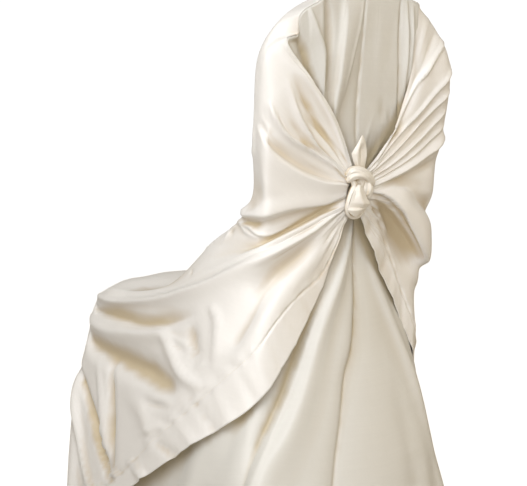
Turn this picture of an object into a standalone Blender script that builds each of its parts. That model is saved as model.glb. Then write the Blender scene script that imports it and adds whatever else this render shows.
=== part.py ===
"""Fitted cloth cover for a round-backed chair, drawn back at both sides and tied in a knot behind.

Metres, +Z up. The chair faces -Y and its sitter's left is +X. Heights in the tables are above the floor. At
the end everything is lowered, so that the origin is under the top of the cover, where the chair carries it.
"""

import math
from collections import namedtuple

import bmesh
import bpy
import numpy as np
from mathutils import Matrix, Vector

# ---------------------------------------------------------------- driving dimensions
SEAT_HEIGHT = 0.455
TOP_HEIGHT = 0.985
LEAN = math.tan(math.radians(12.0))
BACK_FOOT_Y = 0.225
BACK_DEPTH = 0.034
CLOTH = 0.002

# The backrest seen from behind: height above the floor, half width.
BACK_OUTLINE = [
    (0.455, 0.157),
    (0.560, 0.166),
    (0.650, 0.181),
    (0.730, 0.192),
    (0.810, 0.199),
    (0.850, 0.195),
    (0.876, 0.186),
    (0.905, 0.168),
    (0.936, 0.142),
    (0.957, 0.112),
]

# The oval on which the ears enter the knot, and its distance behind the backrest.
KNOT_X = 0.002
KNOT_HEIGHT = 0.643
KNOT_OUT = 0.034
KNOT_HALF_WIDTH = 0.022
KNOT_HALF_HEIGHT = 0.0415
# The power of the sine in the oval's width: below 1 its sides are straighter than an ellipse's.
KNOT_SQUARENESS = 0.6

# The panel's top edge stands this far inside the hood's wall.
SEAM_GAP = 0.0018

# Small steps that the smooth surfaces are worked out in, from each station or section to the next.
FINE = 8
# Rounds of softening each surface gets before its folds, and points read along each fold's path.
RELAXING = 5
FOLD_READINGS = 60


def rear_y(height, out=0.0):
    """Y of the backrest's rear face, which leans back, moved out by a distance."""
    return BACK_FOOT_Y + (height - SEAT_HEIGHT) * LEAN + out


def half_width(height):
    heights, widths = zip(*BACK_OUTLINE)
    return float(np.interp(height, heights, widths))


def rear_edge(side, height, out=0.010, wide=0.0):
    """A point near the backrest's rear edge; side is 1 for the sitter's left and -1 for the right."""
    return (side * (half_width(height) + wide), rear_y(height, out), height)


def front_edge(side, height, wide=0.004):
    return (side * (half_width(height) + wide), rear_y(height, -BACK_DEPTH), height)


def behind(x, height, out):
    """A point behind the backrest's rear face."""
    return (x, rear_y(height, out), height)


# The origin is under the top of the cover, on the chair's highest point.
ORIGIN = np.array(behind(0.0, TOP_HEIGHT - CLOTH, -BACK_DEPTH / 2))

# ---------------------------------------------------------------- the wrap
# The wrap's sections, from the neck down to its hem. Each is one line of the cloth, from the knot round the
# sitter's left side, over the front and round the right side back to the knot.
# knot: degrees from upright at which the line leaves the knot, left and right.
# left and right: points near the knot, at the backrest's rear edge, on the side, and at the front edge.
# middle: y and height at the front's middle.
WrapSection = namedtuple("WrapSection", "name knot left middle right")
WRAP_SECTIONS = [
    WrapSection(
        "seam",
        knot=(27, 20),
        left=[
            behind(0.054, 0.756, 0.020), behind(0.115, 0.825, 0.014),
            behind(0.171, 0.895, 0.003), behind(0.125, 0.9485, 0.002),
        ],
        middle=(rear_y(0.985, 0.002), 0.985),
        right=[
            behind(-0.080, 0.765, 0.022), behind(-0.107, 0.865, 0.014),
            behind(-0.106, 0.961, 0.003), behind(-0.078, 0.972, 0.002),
        ],
    ),
    WrapSection(
        "crown",
        knot=(33, 26),
        left=[
            behind(0.064, 0.757, 0.020), behind(0.130, 0.830, 0.014),
            behind(0.185, 0.880, -0.012), behind(0.128, 0.9475, -BACK_DEPTH),
        ],
        middle=(rear_y(0.985, -BACK_DEPTH), 0.983),
        right=[
            behind(-0.088, 0.757, 0.022), behind(-0.134, 0.862, 0.015),
            behind(-0.152, 0.935, -0.012), behind(-0.128, 0.9485, -BACK_DEPTH),
        ],
    ),
    WrapSection(
        "upper",
        knot=(45, 38),
        left=[
            behind(0.085, 0.742, 0.019), behind(0.160, 0.805, 0.013),
            rear_edge(1, 0.845, -0.012), front_edge(1, 0.860),
        ],
        middle=(rear_y(0.91, -BACK_DEPTH - 0.004), 0.91),
        right=[
            behind(-0.100, 0.738, 0.022), behind(-0.172, 0.835, 0.014),
            rear_edge(-1, 0.870, -0.010, 0.010), front_edge(-1, 0.868),
        ],
    ),
    WrapSection(
        "gather",
        knot=(66, 54),
        left=[
            behind(0.098, 0.675, 0.024), rear_edge(1, 0.722, 0.012, -0.006),
            rear_edge(1, 0.738, -0.012, 0.002), front_edge(1, 0.752),
        ],
        middle=(rear_y(0.77, -BACK_DEPTH - 0.004), 0.77),
        right=[
            behind(-0.112, 0.710, 0.026), behind(-0.196, 0.778, 0.012),
            rear_edge(-1, 0.795, -0.010, 0.010), front_edge(-1, 0.790, 0.006),
        ],
    ),
    WrapSection(
        "band",
        knot=(92, 78),
        left=[
            behind(0.098, 0.634, 0.024), rear_edge(1, 0.622, 0.014, -0.004),
            rear_edge(1, 0.618, -0.012, 0.002), front_edge(1, 0.626, 0.000),
        ],
        middle=(rear_y(0.62, -BACK_DEPTH - 0.012), 0.62),
        right=[
            behind(-0.114, 0.672, 0.028), behind(-0.194, 0.690, 0.014),
            rear_edge(-1, 0.690, -0.012, 0.014), front_edge(-1, 0.68, 0.008),
        ],
    ),
    WrapSection(
        "valley",
        knot=(110, 96),
        left=[
            behind(0.085, 0.603, 0.022), rear_edge(1, 0.568, 0.008),
            (0.184, 0.175, 0.574), (0.182, 0.126, 0.550),
        ],
        middle=(0.160, 0.505),
        right=[
            behind(-0.114, 0.628, 0.038), behind(-0.190, 0.548, 0.034),
            (-0.212, 0.180, 0.510), (-0.190, 0.125, 0.500),
        ],
    ),
    WrapSection(
        "ridge",
        knot=(120, 110),
        left=[
            behind(0.085, 0.590, 0.026), behind(0.172, 0.548, 0.018),
            (0.206, 0.120, 0.506), (0.208, 0.010, 0.474),
        ],
        middle=(0.020, 0.480),
        right=[
            behind(-0.104, 0.592, 0.027), behind(-0.180, 0.512, 0.014),
            (-0.212, 0.110, 0.490), (-0.206, 0.000, 0.470),
        ],
    ),
    WrapSection(
        "seat_edge",
        knot=(130, 122),
        left=[
            behind(0.082, 0.572, 0.028), behind(0.176, 0.512, 0.024),
            (0.222, 0.100, 0.456), (0.213, -0.212, 0.457),
        ],
        middle=(-0.222, 0.462),
        right=[
            behind(-0.104, 0.560, 0.024), behind(-0.182, 0.468, 0.014),
            (-0.220, 0.080, 0.450), (-0.213, -0.212, 0.457),
        ],
    ),
    WrapSection(
        "apron",
        knot=(139, 133),
        left=[
            behind(0.078, 0.550, 0.032), (0.186, 0.272, 0.452),
            (0.238, 0.060, 0.345), (0.236, -0.246, 0.295),
        ],
        middle=(-0.244, 0.270),
        right=[
            behind(-0.104, 0.530, 0.026), (-0.184, 0.246, 0.418),
            (-0.234, 0.060, 0.330), (-0.236, -0.244, 0.290),
        ],
    ),
    WrapSection(
        "hem_seam",
        knot=(147, 142),
        left=[
            behind(0.072, 0.520, 0.036), (0.190, 0.286, 0.400),
            (0.250, 0.090, 0.252), (0.256, -0.262, 0.036),
        ],
        middle=(-0.262, 0.036),
        right=[
            behind(-0.098, 0.508, 0.028), (-0.186, 0.244, 0.384),
            (-0.244, 0.080, 0.250), (-0.256, -0.262, 0.036),
        ],
    ),
    WrapSection(
        "edge",
        knot=(156, 151),
        left=[
            behind(0.062, 0.492, 0.034), (0.180, 0.280, 0.335),
            (0.246, 0.120, 0.208), (0.258, -0.252, 0.006),
        ],
        middle=(-0.264, 0.006),
        right=[
            behind(-0.086, 0.498, 0.034), (-0.186, 0.242, 0.345),
            (-0.242, 0.110, 0.220), (-0.258, -0.252, 0.006),
        ],
    ),
]
# Where a section's 13 points lie along it, from the left of the knot to its right.
WRAP_STATIONS = [0.0, 0.09, 0.18, 0.26, 0.36, 0.43, 0.50, 0.57, 0.64, 0.74, 0.82, 0.91, 1.0]
SHOULDER_LEFT = 3
SHOULDER_RIGHT = 9
# The quarter points: how far out they lie, and how much of the front edge's depth and height they take.
QUARTER_OUT = 0.45
QUARTER_EDGE = 0.25

# Folds, each with its path as pairs of station and section, and its heights and widths in mm, spread evenly
# along the path. A negative height is a trough.
Fold = namedtuple("Fold", "name path high_mm wide_mm")
WRAP_FOLDS = [
    Fold("left, upper rib", [(0, 1.9), (1, 2.35), (2.1, 2.6)], [1.2, 8.1, 0], [3, 8, 14]),
    Fold("left, middle rib", [(0, 2.5), (1, 2.72), (2.4, 2.85)], [1.2, 6.8, 0], [3, 7, 12]),
    Fold(
        "left, great fold",
        [(0, 3.0), (1, 3.15), (2, 3.05), (3.2, 3.0)],
        [1.8, 13.5, 12.1, 1.4],
        [4, 11, 14, 20],
    ),
    Fold(
        "left, under the great fold",
        [(0.2, 3.3), (1, 3.42), (2, 3.3), (3.0, 3.2)],
        [0, -8.1, -10.8, 0],
        [4, 9, 14, 18],
    ),
    Fold(
        "left, lower lip of the band",
        [(0, 3.9), (1, 4.0), (2, 4.1), (3.2, 4.2)],
        [1.8, 10.8, 8.1, 0],
        [4, 10, 14, 18],
    ),
    Fold("left, valley", [(0.1, 4.9), (1, 5.1), (2, 5.0), (3, 5.0)], [0, -10.8, -9.5, 0], [4, 10, 14, 16]),
    Fold(
        "left, long ridge",
        [(0, 6.0), (1, 6.05), (2, 6.1), (3, 6.6), (3.9, 7.0)],
        [1.8, 12.1, 13.5, 10.8, 2.7],
        [4, 10, 14, 16, 14],
    ),
    Fold(
        "left, below the ridge",
        [(0.4, 6.6), (1, 6.7), (2, 6.8), (3, 7.2)],
        [0, -8.1, -9.5, 0],
        [5, 10, 16, 18],
    ),
    Fold("left, hem rib", [(0.1, 8.2), (1, 8.2), (2, 8.0)], [1.2, 6.8, 0], [4, 12, 20]),
    Fold(
        "seat side, swag",
        [(3.9, 7.25), (3.5, 7.5), (3.0, 7.55), (2.6, 7.3)],
        [-3, -14, -12, 0],
        [10, 14, 16, 18],
    ),
    Fold(
        "seat side, lit fold",
        [(3.95, 7.4), (3.5, 7.8), (3.0, 8.1), (2.7, 8.6)],
        [1.2, 10.8, 12.1, 0],
        [12, 14, 16, 20],
    ),
    Fold("corner, front pleat", [(3.95, 7.6), (3.75, 8.3), (3.65, 9.2)], [1.2, -10.8, -4.1], [12, 16, 20]),
    Fold("corner, front ridge", [(4.0, 7.9), (3.88, 8.4), (3.8, 9.4)], [1.2, 12.1, 5.4], [10, 14, 18]),
    Fold("front, left fold", [(4.5, 7.4), (4.45, 8.4), (4.4, 10)], [0, 5, 9], [16, 20, 26]),
    Fold("front, left hollow", [(4.9, 7.6), (4.95, 8.6), (5.0, 10)], [0, -3, -6], [20, 26, 30]),
    Fold("front, middle fold", [(5.9, 7.5), (5.75, 8.6), (5.7, 10)], [0, 3, 6], [20, 26, 34]),
    Fold("front, right hollow", [(7.0, 7.6), (7.05, 8.6), (7.0, 10)], [0, -3, -6], [20, 26, 30]),
    Fold("front, right fold", [(7.5, 7.4), (7.55, 8.4), (7.6, 10)], [0, 5, 9], [16, 20, 26]),
    Fold(
        "right side, swag",
        [(8.05, 7.3), (8.6, 7.7), (9.2, 7.9), (10, 7.6)],
        [-2, -8, -6, 0],
        [12, 16, 20, 20],
    ),
    Fold(
        "right side, fold",
        [(8.1, 7.6), (8.7, 8.2), (9.4, 8.4), (10.4, 8.3)],
        [2, 7, 6, 0],
        [12, 16, 20, 20],
    ),
    Fold("right, rib 1", [(12, 0.35), (11, 0.5), (10, 0.6), (9, 0.8)], [0.6, 5.4, 5.4, 0], [2, 5, 8, 10]),
    Fold("right, trough 1", [(12, 0.9), (11, 1.0), (10, 1.1), (9, 1.2)], [0, -5.4, -5.4, 0], [2, 5, 8, 10]),
    Fold("right, rib 2", [(12, 1.4), (11, 1.5), (10, 1.55), (9, 1.6)], [0.6, 8.1, 8.1, 0], [2, 5, 8, 10]),
    Fold("right, trough 2", [(12, 1.8), (11, 1.9), (10, 1.9), (9, 1.9)], [0, -6.8, -6.8, 0], [2, 5, 8, 10]),
    Fold("right, rib 3", [(12, 2.2), (11, 2.2), (10, 2.2), (9, 2.2)], [0.6, 9.5, 8.1, 0], [2, 6, 8, 12]),
    Fold(
        "right, trough 3",
        [(12, 2.6), (11, 2.55), (10, 2.5), (9, 2.5)],
        [0, -8.1, -6.8, 0],
        [2, 6, 8, 12],
    ),
    Fold("right, rib 4", [(12, 2.95), (11, 2.9), (10, 2.8), (9, 2.8)], [0.6, 10.8, 8.1, 0], [3, 6, 9, 12]),
    Fold(
        "right, trough 4",
        [(12, 3.3), (11, 3.3), (10, 3.2), (9, 3.1)],
        [0, -9.5, -6.8, 0],
        [3, 7, 10, 12],
    ),
    Fold(
        "right, big fold",
        [(12, 4.8), (11, 4.9), (10, 5.0), (9.3, 5.0)],
        [1.8, 10.8, 13.5, 0],
        [4, 10, 14, 20],
    ),
    Fold(
        "right, under the big fold",
        [(11.8, 5.4), (11, 5.7), (10, 5.7), (9.3, 5.6)],
        [0, -10.8, -13.5, 0],
        [4, 10, 14, 20],
    ),
    Fold("right, hem rib", [(12, 8.0), (11, 8.0), (10, 7.8)], [1.2, 8.1, 0], [4, 12, 20]),
]
# Faces between one station and the next, and between one section and the next.
WRAP_ALONG = [6, 6, 4, 4, 4, 3, 3, 4, 4, 4, 6, 6]
WRAP_DOWN = [2, 4, 5, 5, 4, 4, 4, 5, 4, 2]

# ---------------------------------------------------------------- the back panel
# Its sections below the arch, from the chest down to the hem. Points go from the hidden left edge, on the
# chair's side, round the left rear corner, across the back and round to the right side.
# On the backrest, out is the distance behind its rear face; below it, out is y.
PanelSection = namedtuple("PanelSection", "name on_backrest x out height")
PANEL_SECTIONS = [
    PanelSection(
        "chest",
        True,
        [0.136, 0.118, 0.088, 0.046, -0.002, -0.042, -0.078, -0.110, -0.134],
        [-0.001, 0.002, 0.003, 0.003, 0.003, 0.003, 0.003, 0.002, -0.001],
        [0.826, 0.850, 0.866, 0.878, 0.884, 0.882, 0.872, 0.845, 0.810],
    ),
    PanelSection(
        "neck",
        True,
        [0.136, 0.112, 0.078, 0.040, 0.000, -0.040, -0.078, -0.112, -0.136],
        [0.004, 0.004, 0.004, 0.004, 0.004, 0.004, 0.004, 0.004, 0.004],
        0.745,
    ),
    PanelSection(
        "tied",
        True,
        [0.110, 0.080, 0.050, 0.024, 0.000, -0.026, -0.054, -0.084, -0.114],
        [0.004, 0.005, 0.006, 0.007, 0.007, 0.007, 0.006, 0.005, 0.004],
        0.645,
    ),
    PanelSection(
        "fan",
        True,
        [0.130, 0.100, 0.066, 0.034, 0.006, -0.028, -0.062, -0.096, -0.132],
        [0.003, 0.005, 0.010, 0.016, 0.018, 0.017, 0.015, 0.012, 0.006],
        0.560,
    ),
    PanelSection(
        "hip",
        False,
        [0.205, 0.198, 0.158, 0.085, 0.016, -0.060, -0.132, -0.187, -0.200],
        [0.165, 0.205, 0.245, 0.268, 0.280, 0.272, 0.257, 0.206, 0.155],
        0.430,
    ),
    PanelSection(
        "thigh",
        False,
        [0.222, 0.220, 0.196, 0.106, 0.016, -0.086, -0.184, -0.210, -0.214],
        [0.075, 0.170, 0.255, 0.292, 0.306, 0.296, 0.263, 0.168, 0.085],
        0.300,
    ),
    PanelSection(
        "knee",
        False,
        [0.232, 0.232, 0.222, 0.130, 0.022, -0.102, -0.214, -0.228, -0.228],
        [-0.030, 0.120, 0.270, 0.316, 0.328, 0.318, 0.272, 0.120, -0.020],
        0.180,
    ),
    PanelSection(
        "hem",
        False,
        [0.2445, 0.244, 0.238, 0.146, 0.030, -0.114, -0.248, -0.242, -0.2435],
        [-0.238, 0.040, 0.275, 0.336, 0.350, 0.342, 0.280, 0.040, -0.238],
        0.006,
    ),
]
PANEL_STATIONS = [0.0, 0.14, 0.28, 0.39, 0.5, 0.61, 0.72, 0.86, 1.0]
PANEL_FOLDS = [
    Fold("left upper fold", [(1.3, 0), (1.65, 0.8), (2.05, 1.4)], [3, 6, 1], [8, 8, 6]),
    Fold("dark gap", [(1.95, 0.1), (2.3, 0.8), (2.6, 1.6)], [-2, -3, 0], [7, 7, 5]),
    Fold("slanting upper fold", [(3.0, 0), (3.05, 0.8), (2.95, 1.5), (3.1, 2.2)], [3, 8, 7, 1], [12, 12, 9, 6]),
    Fold("upper crease", [(3.62, 0), (3.8, 1.0), (3.95, 1.6), (4.1, 2.2)], [-2, -3, -3, 0], [6, 6, 6, 6]),
    Fold("right upper fold", [(6.4, 0.1), (6.2, 0.9), (5.8, 1.8)], [2, 4, 0], [8, 8, 6]),
    Fold(
        "bright lower ridge",
        [(4.6, 3.4), (4.1, 4.3), (3.45, 4.85), (3.0, 5.5), (2.5, 6.4), (2.1, 7.0), (1.9, 8)],
        [1, 5, 9, 12, 14, 16, 16],
        [5, 9, 15, 20, 26, 30, 36],
    ),
    Fold(
        "thin crease",
        [(3.0, 5.1), (2.65, 5.5), (2.25, 6.1), (1.9, 6.8), (1.6, 8)],
        [0, -4, -6, -6, -3],
        [6, 8, 10, 12, 16],
    ),
    Fold(
        "centre valley",
        [(4.84, 3.4), (4.66, 4.3), (4.22, 5.2), (3.88, 5.7), (3.65, 6.3), (3.5, 6.9), (3.3, 8)],
        [-1, -5, -8, -10, -12, -13, -15],
        [5, 8, 12, 14, 16, 20, 24],
    ),
    Fold("right ridge", [(5.4, 5.0), (5.5, 6.0), (5.55, 6.8), (5.6, 8)], [0, 4, 8, 13], [10, 18, 24, 32]),
    Fold("right hem valley", [(4.9, 5.4), (4.75, 6.7), (4.7, 8)], [0, -5, -10], [16, 22, 28]),
    Fold("left side ridge", [(1.15, 6.1), (1.2, 7), (1.2, 8)], [0, 6, 10], [16, 24, 34]),
]
PANEL_ALONG = [2, 3, 4, 4, 4, 4, 3, 2]
PANEL_DOWN = [5, 4, 4, 4, 4, 4, 4, 4]
# The middle of the arch, towards which the panel's top edge is drawn in, and how far it is sunk.
ARCH_CENTRE_HEIGHT = 0.84
ARCH_SINK = 0.0015

# ---------------------------------------------------------------- the knot and the tie's free ends
# The knot is wound of these ropes of cloth. A bead is x, height, distance behind the chair, radius.
KNOT_ROPES = {
    "core": [
        (0.003, 0.663, 0.036, 0.0120),
        (0.002, 0.650, 0.037, 0.0140),
        (0.001, 0.637, 0.037, 0.0140),
        (0.005, 0.624, 0.036, 0.0115),
    ],
    "band over the top": [
        (0.0300, 0.6640, 0.0440, 0.0065),
        (0.0280, 0.6720, 0.0440, 0.0070),
        (0.0190, 0.6775, 0.0450, 0.0072),
        (0.0060, 0.6742, 0.0470, 0.0072),
        (-0.0070, 0.6664, 0.0480, 0.0070),
        (-0.0150, 0.6553, 0.0465, 0.0070),
    ],
    "right lobe": [
        (-0.0150, 0.6570, 0.0455, 0.0072),
        (-0.0172, 0.6480, 0.0450, 0.0078),
        (-0.0160, 0.6390, 0.0440, 0.0072),
        (-0.0110, 0.6330, 0.0410, 0.0060),
    ],
    "left side": [
        (0.0225, 0.6600, 0.0432, 0.0065),
        (0.0230, 0.6480, 0.0430, 0.0065),
        (0.0245, 0.6360, 0.0430, 0.0062),
        (0.0250, 0.6250, 0.0434, 0.0062),
    ],
    "filling over the loop": [
        (0.0120, 0.6260, 0.0400, 0.0100),
        (0.0110, 0.6160, 0.0400, 0.0075),
    ],
    "lower loop": [
        (0.0250, 0.6260, 0.0441, 0.0062),
        (0.0225, 0.6150, 0.0436, 0.0060),
        (0.0150, 0.6085, 0.0420, 0.0056),
        (0.0060, 0.6080, 0.0410, 0.0052),
        (-0.0020, 0.6150, 0.0410, 0.0052),
        (0.0000, 0.6260, 0.0410, 0.0070),
    ],
}
BEADS_BETWEEN = 5
KNOT_VOXEL = 0.0040
KNOT_SMOOTHING = 4

# A free end's sections, from its top down: height, distance behind the backrest at the middle, x at the left
# edge, the middle and the right edge, and how far the middle stands proud of the edges.
EndSection = namedtuple("EndSection", "height out x proud")
TIE_ENDS = {
    "tie_end_upper": [
        EndSection(0.7400, 0.0410, (0.0085, 0.0062, 0.0040), 0.001),
        EndSection(0.7310, 0.0410, (0.0150, 0.0068, -0.0010), 0.003),
        EndSection(0.7210, 0.0400, (0.0205, 0.0078, -0.0070), -0.004),
        EndSection(0.7120, 0.0380, (0.0235, 0.0083, -0.0099), -0.006),
        EndSection(0.7010, 0.0365, (0.0205, 0.0075, -0.0092), -0.005),
        EndSection(0.6900, 0.0360, (0.0165, 0.0050, -0.0080), -0.003),
        EndSection(0.6780, 0.0370, (0.0135, 0.0040, -0.0060), -0.001),
    ],
    "tie_end_lower": [
        EndSection(0.6660, 0.0535, (0.0240, 0.0180, 0.0120), 0.001),
        EndSection(0.6570, 0.0558, (0.0285, 0.0180, 0.0075), 0.004),
        EndSection(0.6460, 0.0578, (0.0330, 0.0176, 0.0025), 0.006),
        EndSection(0.6340, 0.0588, (0.0370, 0.0174, -0.0030), 0.007),
        EndSection(0.6240, 0.0588, (0.0385, 0.0180, -0.0085), 0.006),
        EndSection(0.6160, 0.0568, (0.0300, 0.0184, 0.0040), 0.004),
        EndSection(0.6090, 0.0550, (0.0205, 0.0182, 0.0155), 0.001),
    ],
}
# How much of its proud height a free end has across its width, from edge to edge.
END_BULGE = [0.0, 0.6, 1.0, 0.6, 0.0]
END_ACROSS = 6
END_DOWN = 12


# ---------------------------------------------------------------- smooth surfaces
def slopes(values, places):
    """Slopes of a curve through values that never overshoots them."""
    step = np.diff(places)[:, None, None]
    rise = np.diff(values, axis=0) / step
    before, after = rise[:-1], rise[1:]
    heavy = 2 * step[1:] + step[:-1]
    light = step[1:] + 2 * step[:-1]
    with np.errstate(divide="ignore", invalid="ignore"):
        mean = (heavy + light) / (heavy / before + light / after)
    inner = np.where(before * after > 0, mean, 0.0)
    return np.concatenate([rise[:1], inner, rise[-1:]])


def through(values, places, where):
    """A smooth curve through values that lie at places along the first axis, read elsewhere."""
    values, places, where = (np.asarray(item, float) for item in (values, places, where))
    slope = slopes(values, places)
    i = np.clip(np.searchsorted(places, where) - 1, 0, len(places) - 2)
    step = (places[i + 1] - places[i])[:, None, None]
    t = (where - places[i])[:, None, None] / step
    return (
        values[i] * (2 * t**3 - 3 * t**2 + 1)
        + values[i + 1] * (3 * t**2 - 2 * t**3)
        + slope[i] * step * (t**3 - 2 * t**2 + t)
        + slope[i + 1] * step * (t**3 - t**2)
    )


def across(grid, places, where):
    """The same along the second axis."""
    return through(grid.transpose(1, 0, 2), places, where).transpose(1, 0, 2)


def relaxed(grid, rounds):
    """The grid with its creases softened; its top edge and its two sides stay."""
    for _ in range(rounds):
        soft = grid.copy()
        soft[1:-1] = 0.5 * grid[1:-1] + 0.25 * (grid[2:] + grid[:-2])
        soft[:, 1:-1] = 0.5 * soft[:, 1:-1] + 0.25 * (soft[:, 2:] + soft[:, :-2])
        soft[0], soft[:, 0], soft[:, -1] = grid[0], grid[:, 0], grid[:, -1]
        grid = soft
    return grid


def points_at(grid, rows, columns):
    """The grid at fractional row and column numbers, which may be arrays of any matching shapes."""
    row = np.clip(np.floor(rows).astype(int), 0, grid.shape[0] - 2)
    column = np.clip(np.floor(columns).astype(int), 0, grid.shape[1] - 2)
    down, along = (rows - row)[..., None], (columns - column)[..., None]
    above = grid[row, column] * (1 - along) + grid[row, column + 1] * along
    below = grid[row + 1, column] * (1 - along) + grid[row + 1, column + 1] * along
    return above * (1 - down) + below * down


def outward(grid, turn):
    """Unit normals of a grid whose rows run down. Seen from above, its columns run clockwise if turn is 1,
    and the other way round if it is -1."""
    normal = turn * np.cross(np.gradient(grid, axis=1), np.gradient(grid, axis=0))
    return normal / np.linalg.norm(normal, axis=2, keepdims=True)


def folded(grid, folds, turn):
    """The cloth raised along each fold's path, or sunk where its height is negative."""
    lift = np.zeros(grid.shape[:2])
    t = np.linspace(0, 1, FOLD_READINGS)
    for fold in folds:
        columns, rows = (spread(values, t) * FINE for values in zip(*fold.path))
        apart = np.linalg.norm(grid[:, :, None] - points_at(grid, rows, columns), axis=3)
        nearest = apart.argmin(axis=2)
        high, wide = (spread(values, t)[nearest] / 1000 for values in (fold.high_mm, fold.wide_mm))
        lift += high * np.exp(-((apart.min(axis=2) / wide) ** 2))
    return grid + lift[..., None] * outward(grid, turn)


def spread(values, t):
    """Values spread evenly from 0 to 1, read at t."""
    return np.interp(t, np.linspace(0, 1, len(values)), values)


def fine_columns(stations):
    """The stations' places with FINE steps from each to the next."""
    numbers = np.arange((len(stations) - 1) * FINE + 1) / FINE
    return np.interp(numbers, range(len(stations)), stations)


def cloth(points, stations, folds, turn, edge=None):
    """A fine grid through sections of points, with its folds; edge replaces the first section."""
    rows = np.arange((len(points) - 1) * FINE + 1) / FINE
    along = across(points, stations, fine_columns(stations))
    if edge is not None:
        along[0] = edge
    return folded(relaxed(through(along, range(len(points)), rows), RELAXING), folds, turn)


def coarse(grid, down, along):
    """A fine grid cut into the given counts of faces between its sections and its stations."""
    rows, columns = (
        np.concatenate([[0], *(FINE * (i + np.arange(1, n + 1) / n) for i, n in enumerate(counts))])
        for counts in (down, along)
    )
    return points_at(grid, rows[:, None], columns[None, :])


# ---------------------------------------------------------------- the pieces' surfaces
def knot_point(side, degrees):
    """Where a line of an ear enters the knot, on an upright oval with straightened sides."""
    turn = math.radians(degrees)
    out_from_middle = side * KNOT_HALF_WIDTH * math.sin(turn) ** KNOT_SQUARENESS
    return behind(KNOT_X + out_from_middle, KNOT_HEIGHT + KNOT_HALF_HEIGHT * math.cos(turn), KNOT_OUT)


def quarter(front, middle):
    """The point between a section's front edge and its middle."""
    y, height = (QUARTER_EDGE * a + (1 - QUARTER_EDGE) * b for a, b in zip(front[1:], middle))
    return (QUARTER_OUT * front[0], y, height)


def wrap_points(section):
    """A section's points in order: knot, near, rear, side, front, quarter, middle, and back again."""
    left = [knot_point(1, section.knot[0]), *section.left, quarter(section.left[-1], section.middle)]
    right = [knot_point(-1, section.knot[1]), *section.right, quarter(section.right[-1], section.middle)]
    return [*left, (0.0, *section.middle), *reversed(right)]


def panel_points(section):
    heights = np.broadcast_to(section.height, len(section.x))
    base = rear_y(heights) if section.on_backrest else 0.0
    return np.stack([section.x, base + np.array(section.out), heights], axis=1)


def arch(wrap, places):
    """The panel's top edge: the wrap's edge over the top, drawn in by half the wall and a small gap."""
    columns = np.interp(places, [0, 1], [SHOULDER_LEFT * FINE, SHOULDER_RIGHT * FINE])
    edge = points_at(wrap, np.zeros(len(columns)), columns)
    inward = behind(0.0, ARCH_CENTRE_HEIGHT, 0.0) - edge
    inward /= np.linalg.norm(inward, axis=1, keepdims=True)
    return edge + inward * (CLOTH / 2 + SEAM_GAP) - [0, ARCH_SINK, 0]


def tie_end(sections):
    """A free end, creased down its middle."""
    rows = []
    for section in sections:
        xs = spread(section.x, np.linspace(0, 1, len(END_BULGE)))
        outs = section.out + (np.array(END_BULGE) - 1) * section.proud
        rows.append([behind(x, section.height, out) for x, out in zip(xs, outs)])
    grid = across(np.array(rows), np.linspace(0, 1, len(END_BULGE)), np.linspace(0, 1, END_ACROSS + 1))
    return through(grid, range(len(rows)), np.linspace(0, len(rows) - 1, END_DOWN + 1))


# ---------------------------------------------------------------- making the objects
def material(name, colour, roughness):
    made = bpy.data.materials.new(name)
    made.use_nodes = True
    shader = made.node_tree.nodes["Principled BSDF"]
    shader.inputs["Base Color"].default_value = (*colour, 1)
    shader.inputs["Roughness"].default_value = roughness
    shader.inputs["Metallic"].default_value = 0.0
    return made


def add_object(name, mesh, finish, collection):
    mesh.materials.append(finish)
    mesh.shade_smooth()
    made = bpy.data.objects.new(name, mesh)
    collection.objects.link(made)
    return made


def sheet(name, grid, finish, collection):
    """A grid of points as a sheet of cloth, to which Solidify gives its thickness."""
    rows, columns = grid.shape[:2]
    number = np.arange(rows * columns).reshape(rows, columns)
    corners = (number[:-1, :-1], number[:-1, 1:], number[1:, 1:], number[1:, :-1])
    faces = np.stack(corners, axis=-1).reshape(-1, 4)
    mesh = bpy.data.meshes.new(name)
    mesh.from_pydata((grid.reshape(-1, 3) - ORIGIN).tolist(), [], faces.tolist())
    made = add_object(name, mesh, finish, collection)
    thick = made.modifiers.new("cloth", "SOLIDIFY")
    thick.thickness = CLOTH
    thick.offset = 0.0


def knot(name, finish, collection):
    """The knot's ropes as chains of spheres, fused into one soft body."""
    shape = bmesh.new()
    for beads in KNOT_ROPES.values():
        for first, second in zip(np.array(beads), np.array(beads[1:])):
            for t in np.linspace(0, 1, BEADS_BETWEEN):
                x, height, out, radius = first + (second - first) * t
                place = Matrix.Translation(Vector(behind(x, height, out) - ORIGIN))
                bmesh.ops.create_icosphere(shape, subdivisions=2, radius=radius, matrix=place)
    mesh = bpy.data.meshes.new(name)
    shape.to_mesh(mesh)
    shape.free()
    made = add_object(name, mesh, finish, collection)
    fuse = made.modifiers.new("fuse", "REMESH")
    fuse.mode = "VOXEL"
    fuse.voxel_size = KNOT_VOXEL
    fuse.use_smooth_shade = True
    smooth = made.modifiers.new("smooth", "SMOOTH")
    smooth.iterations = KNOT_SMOOTHING


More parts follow.
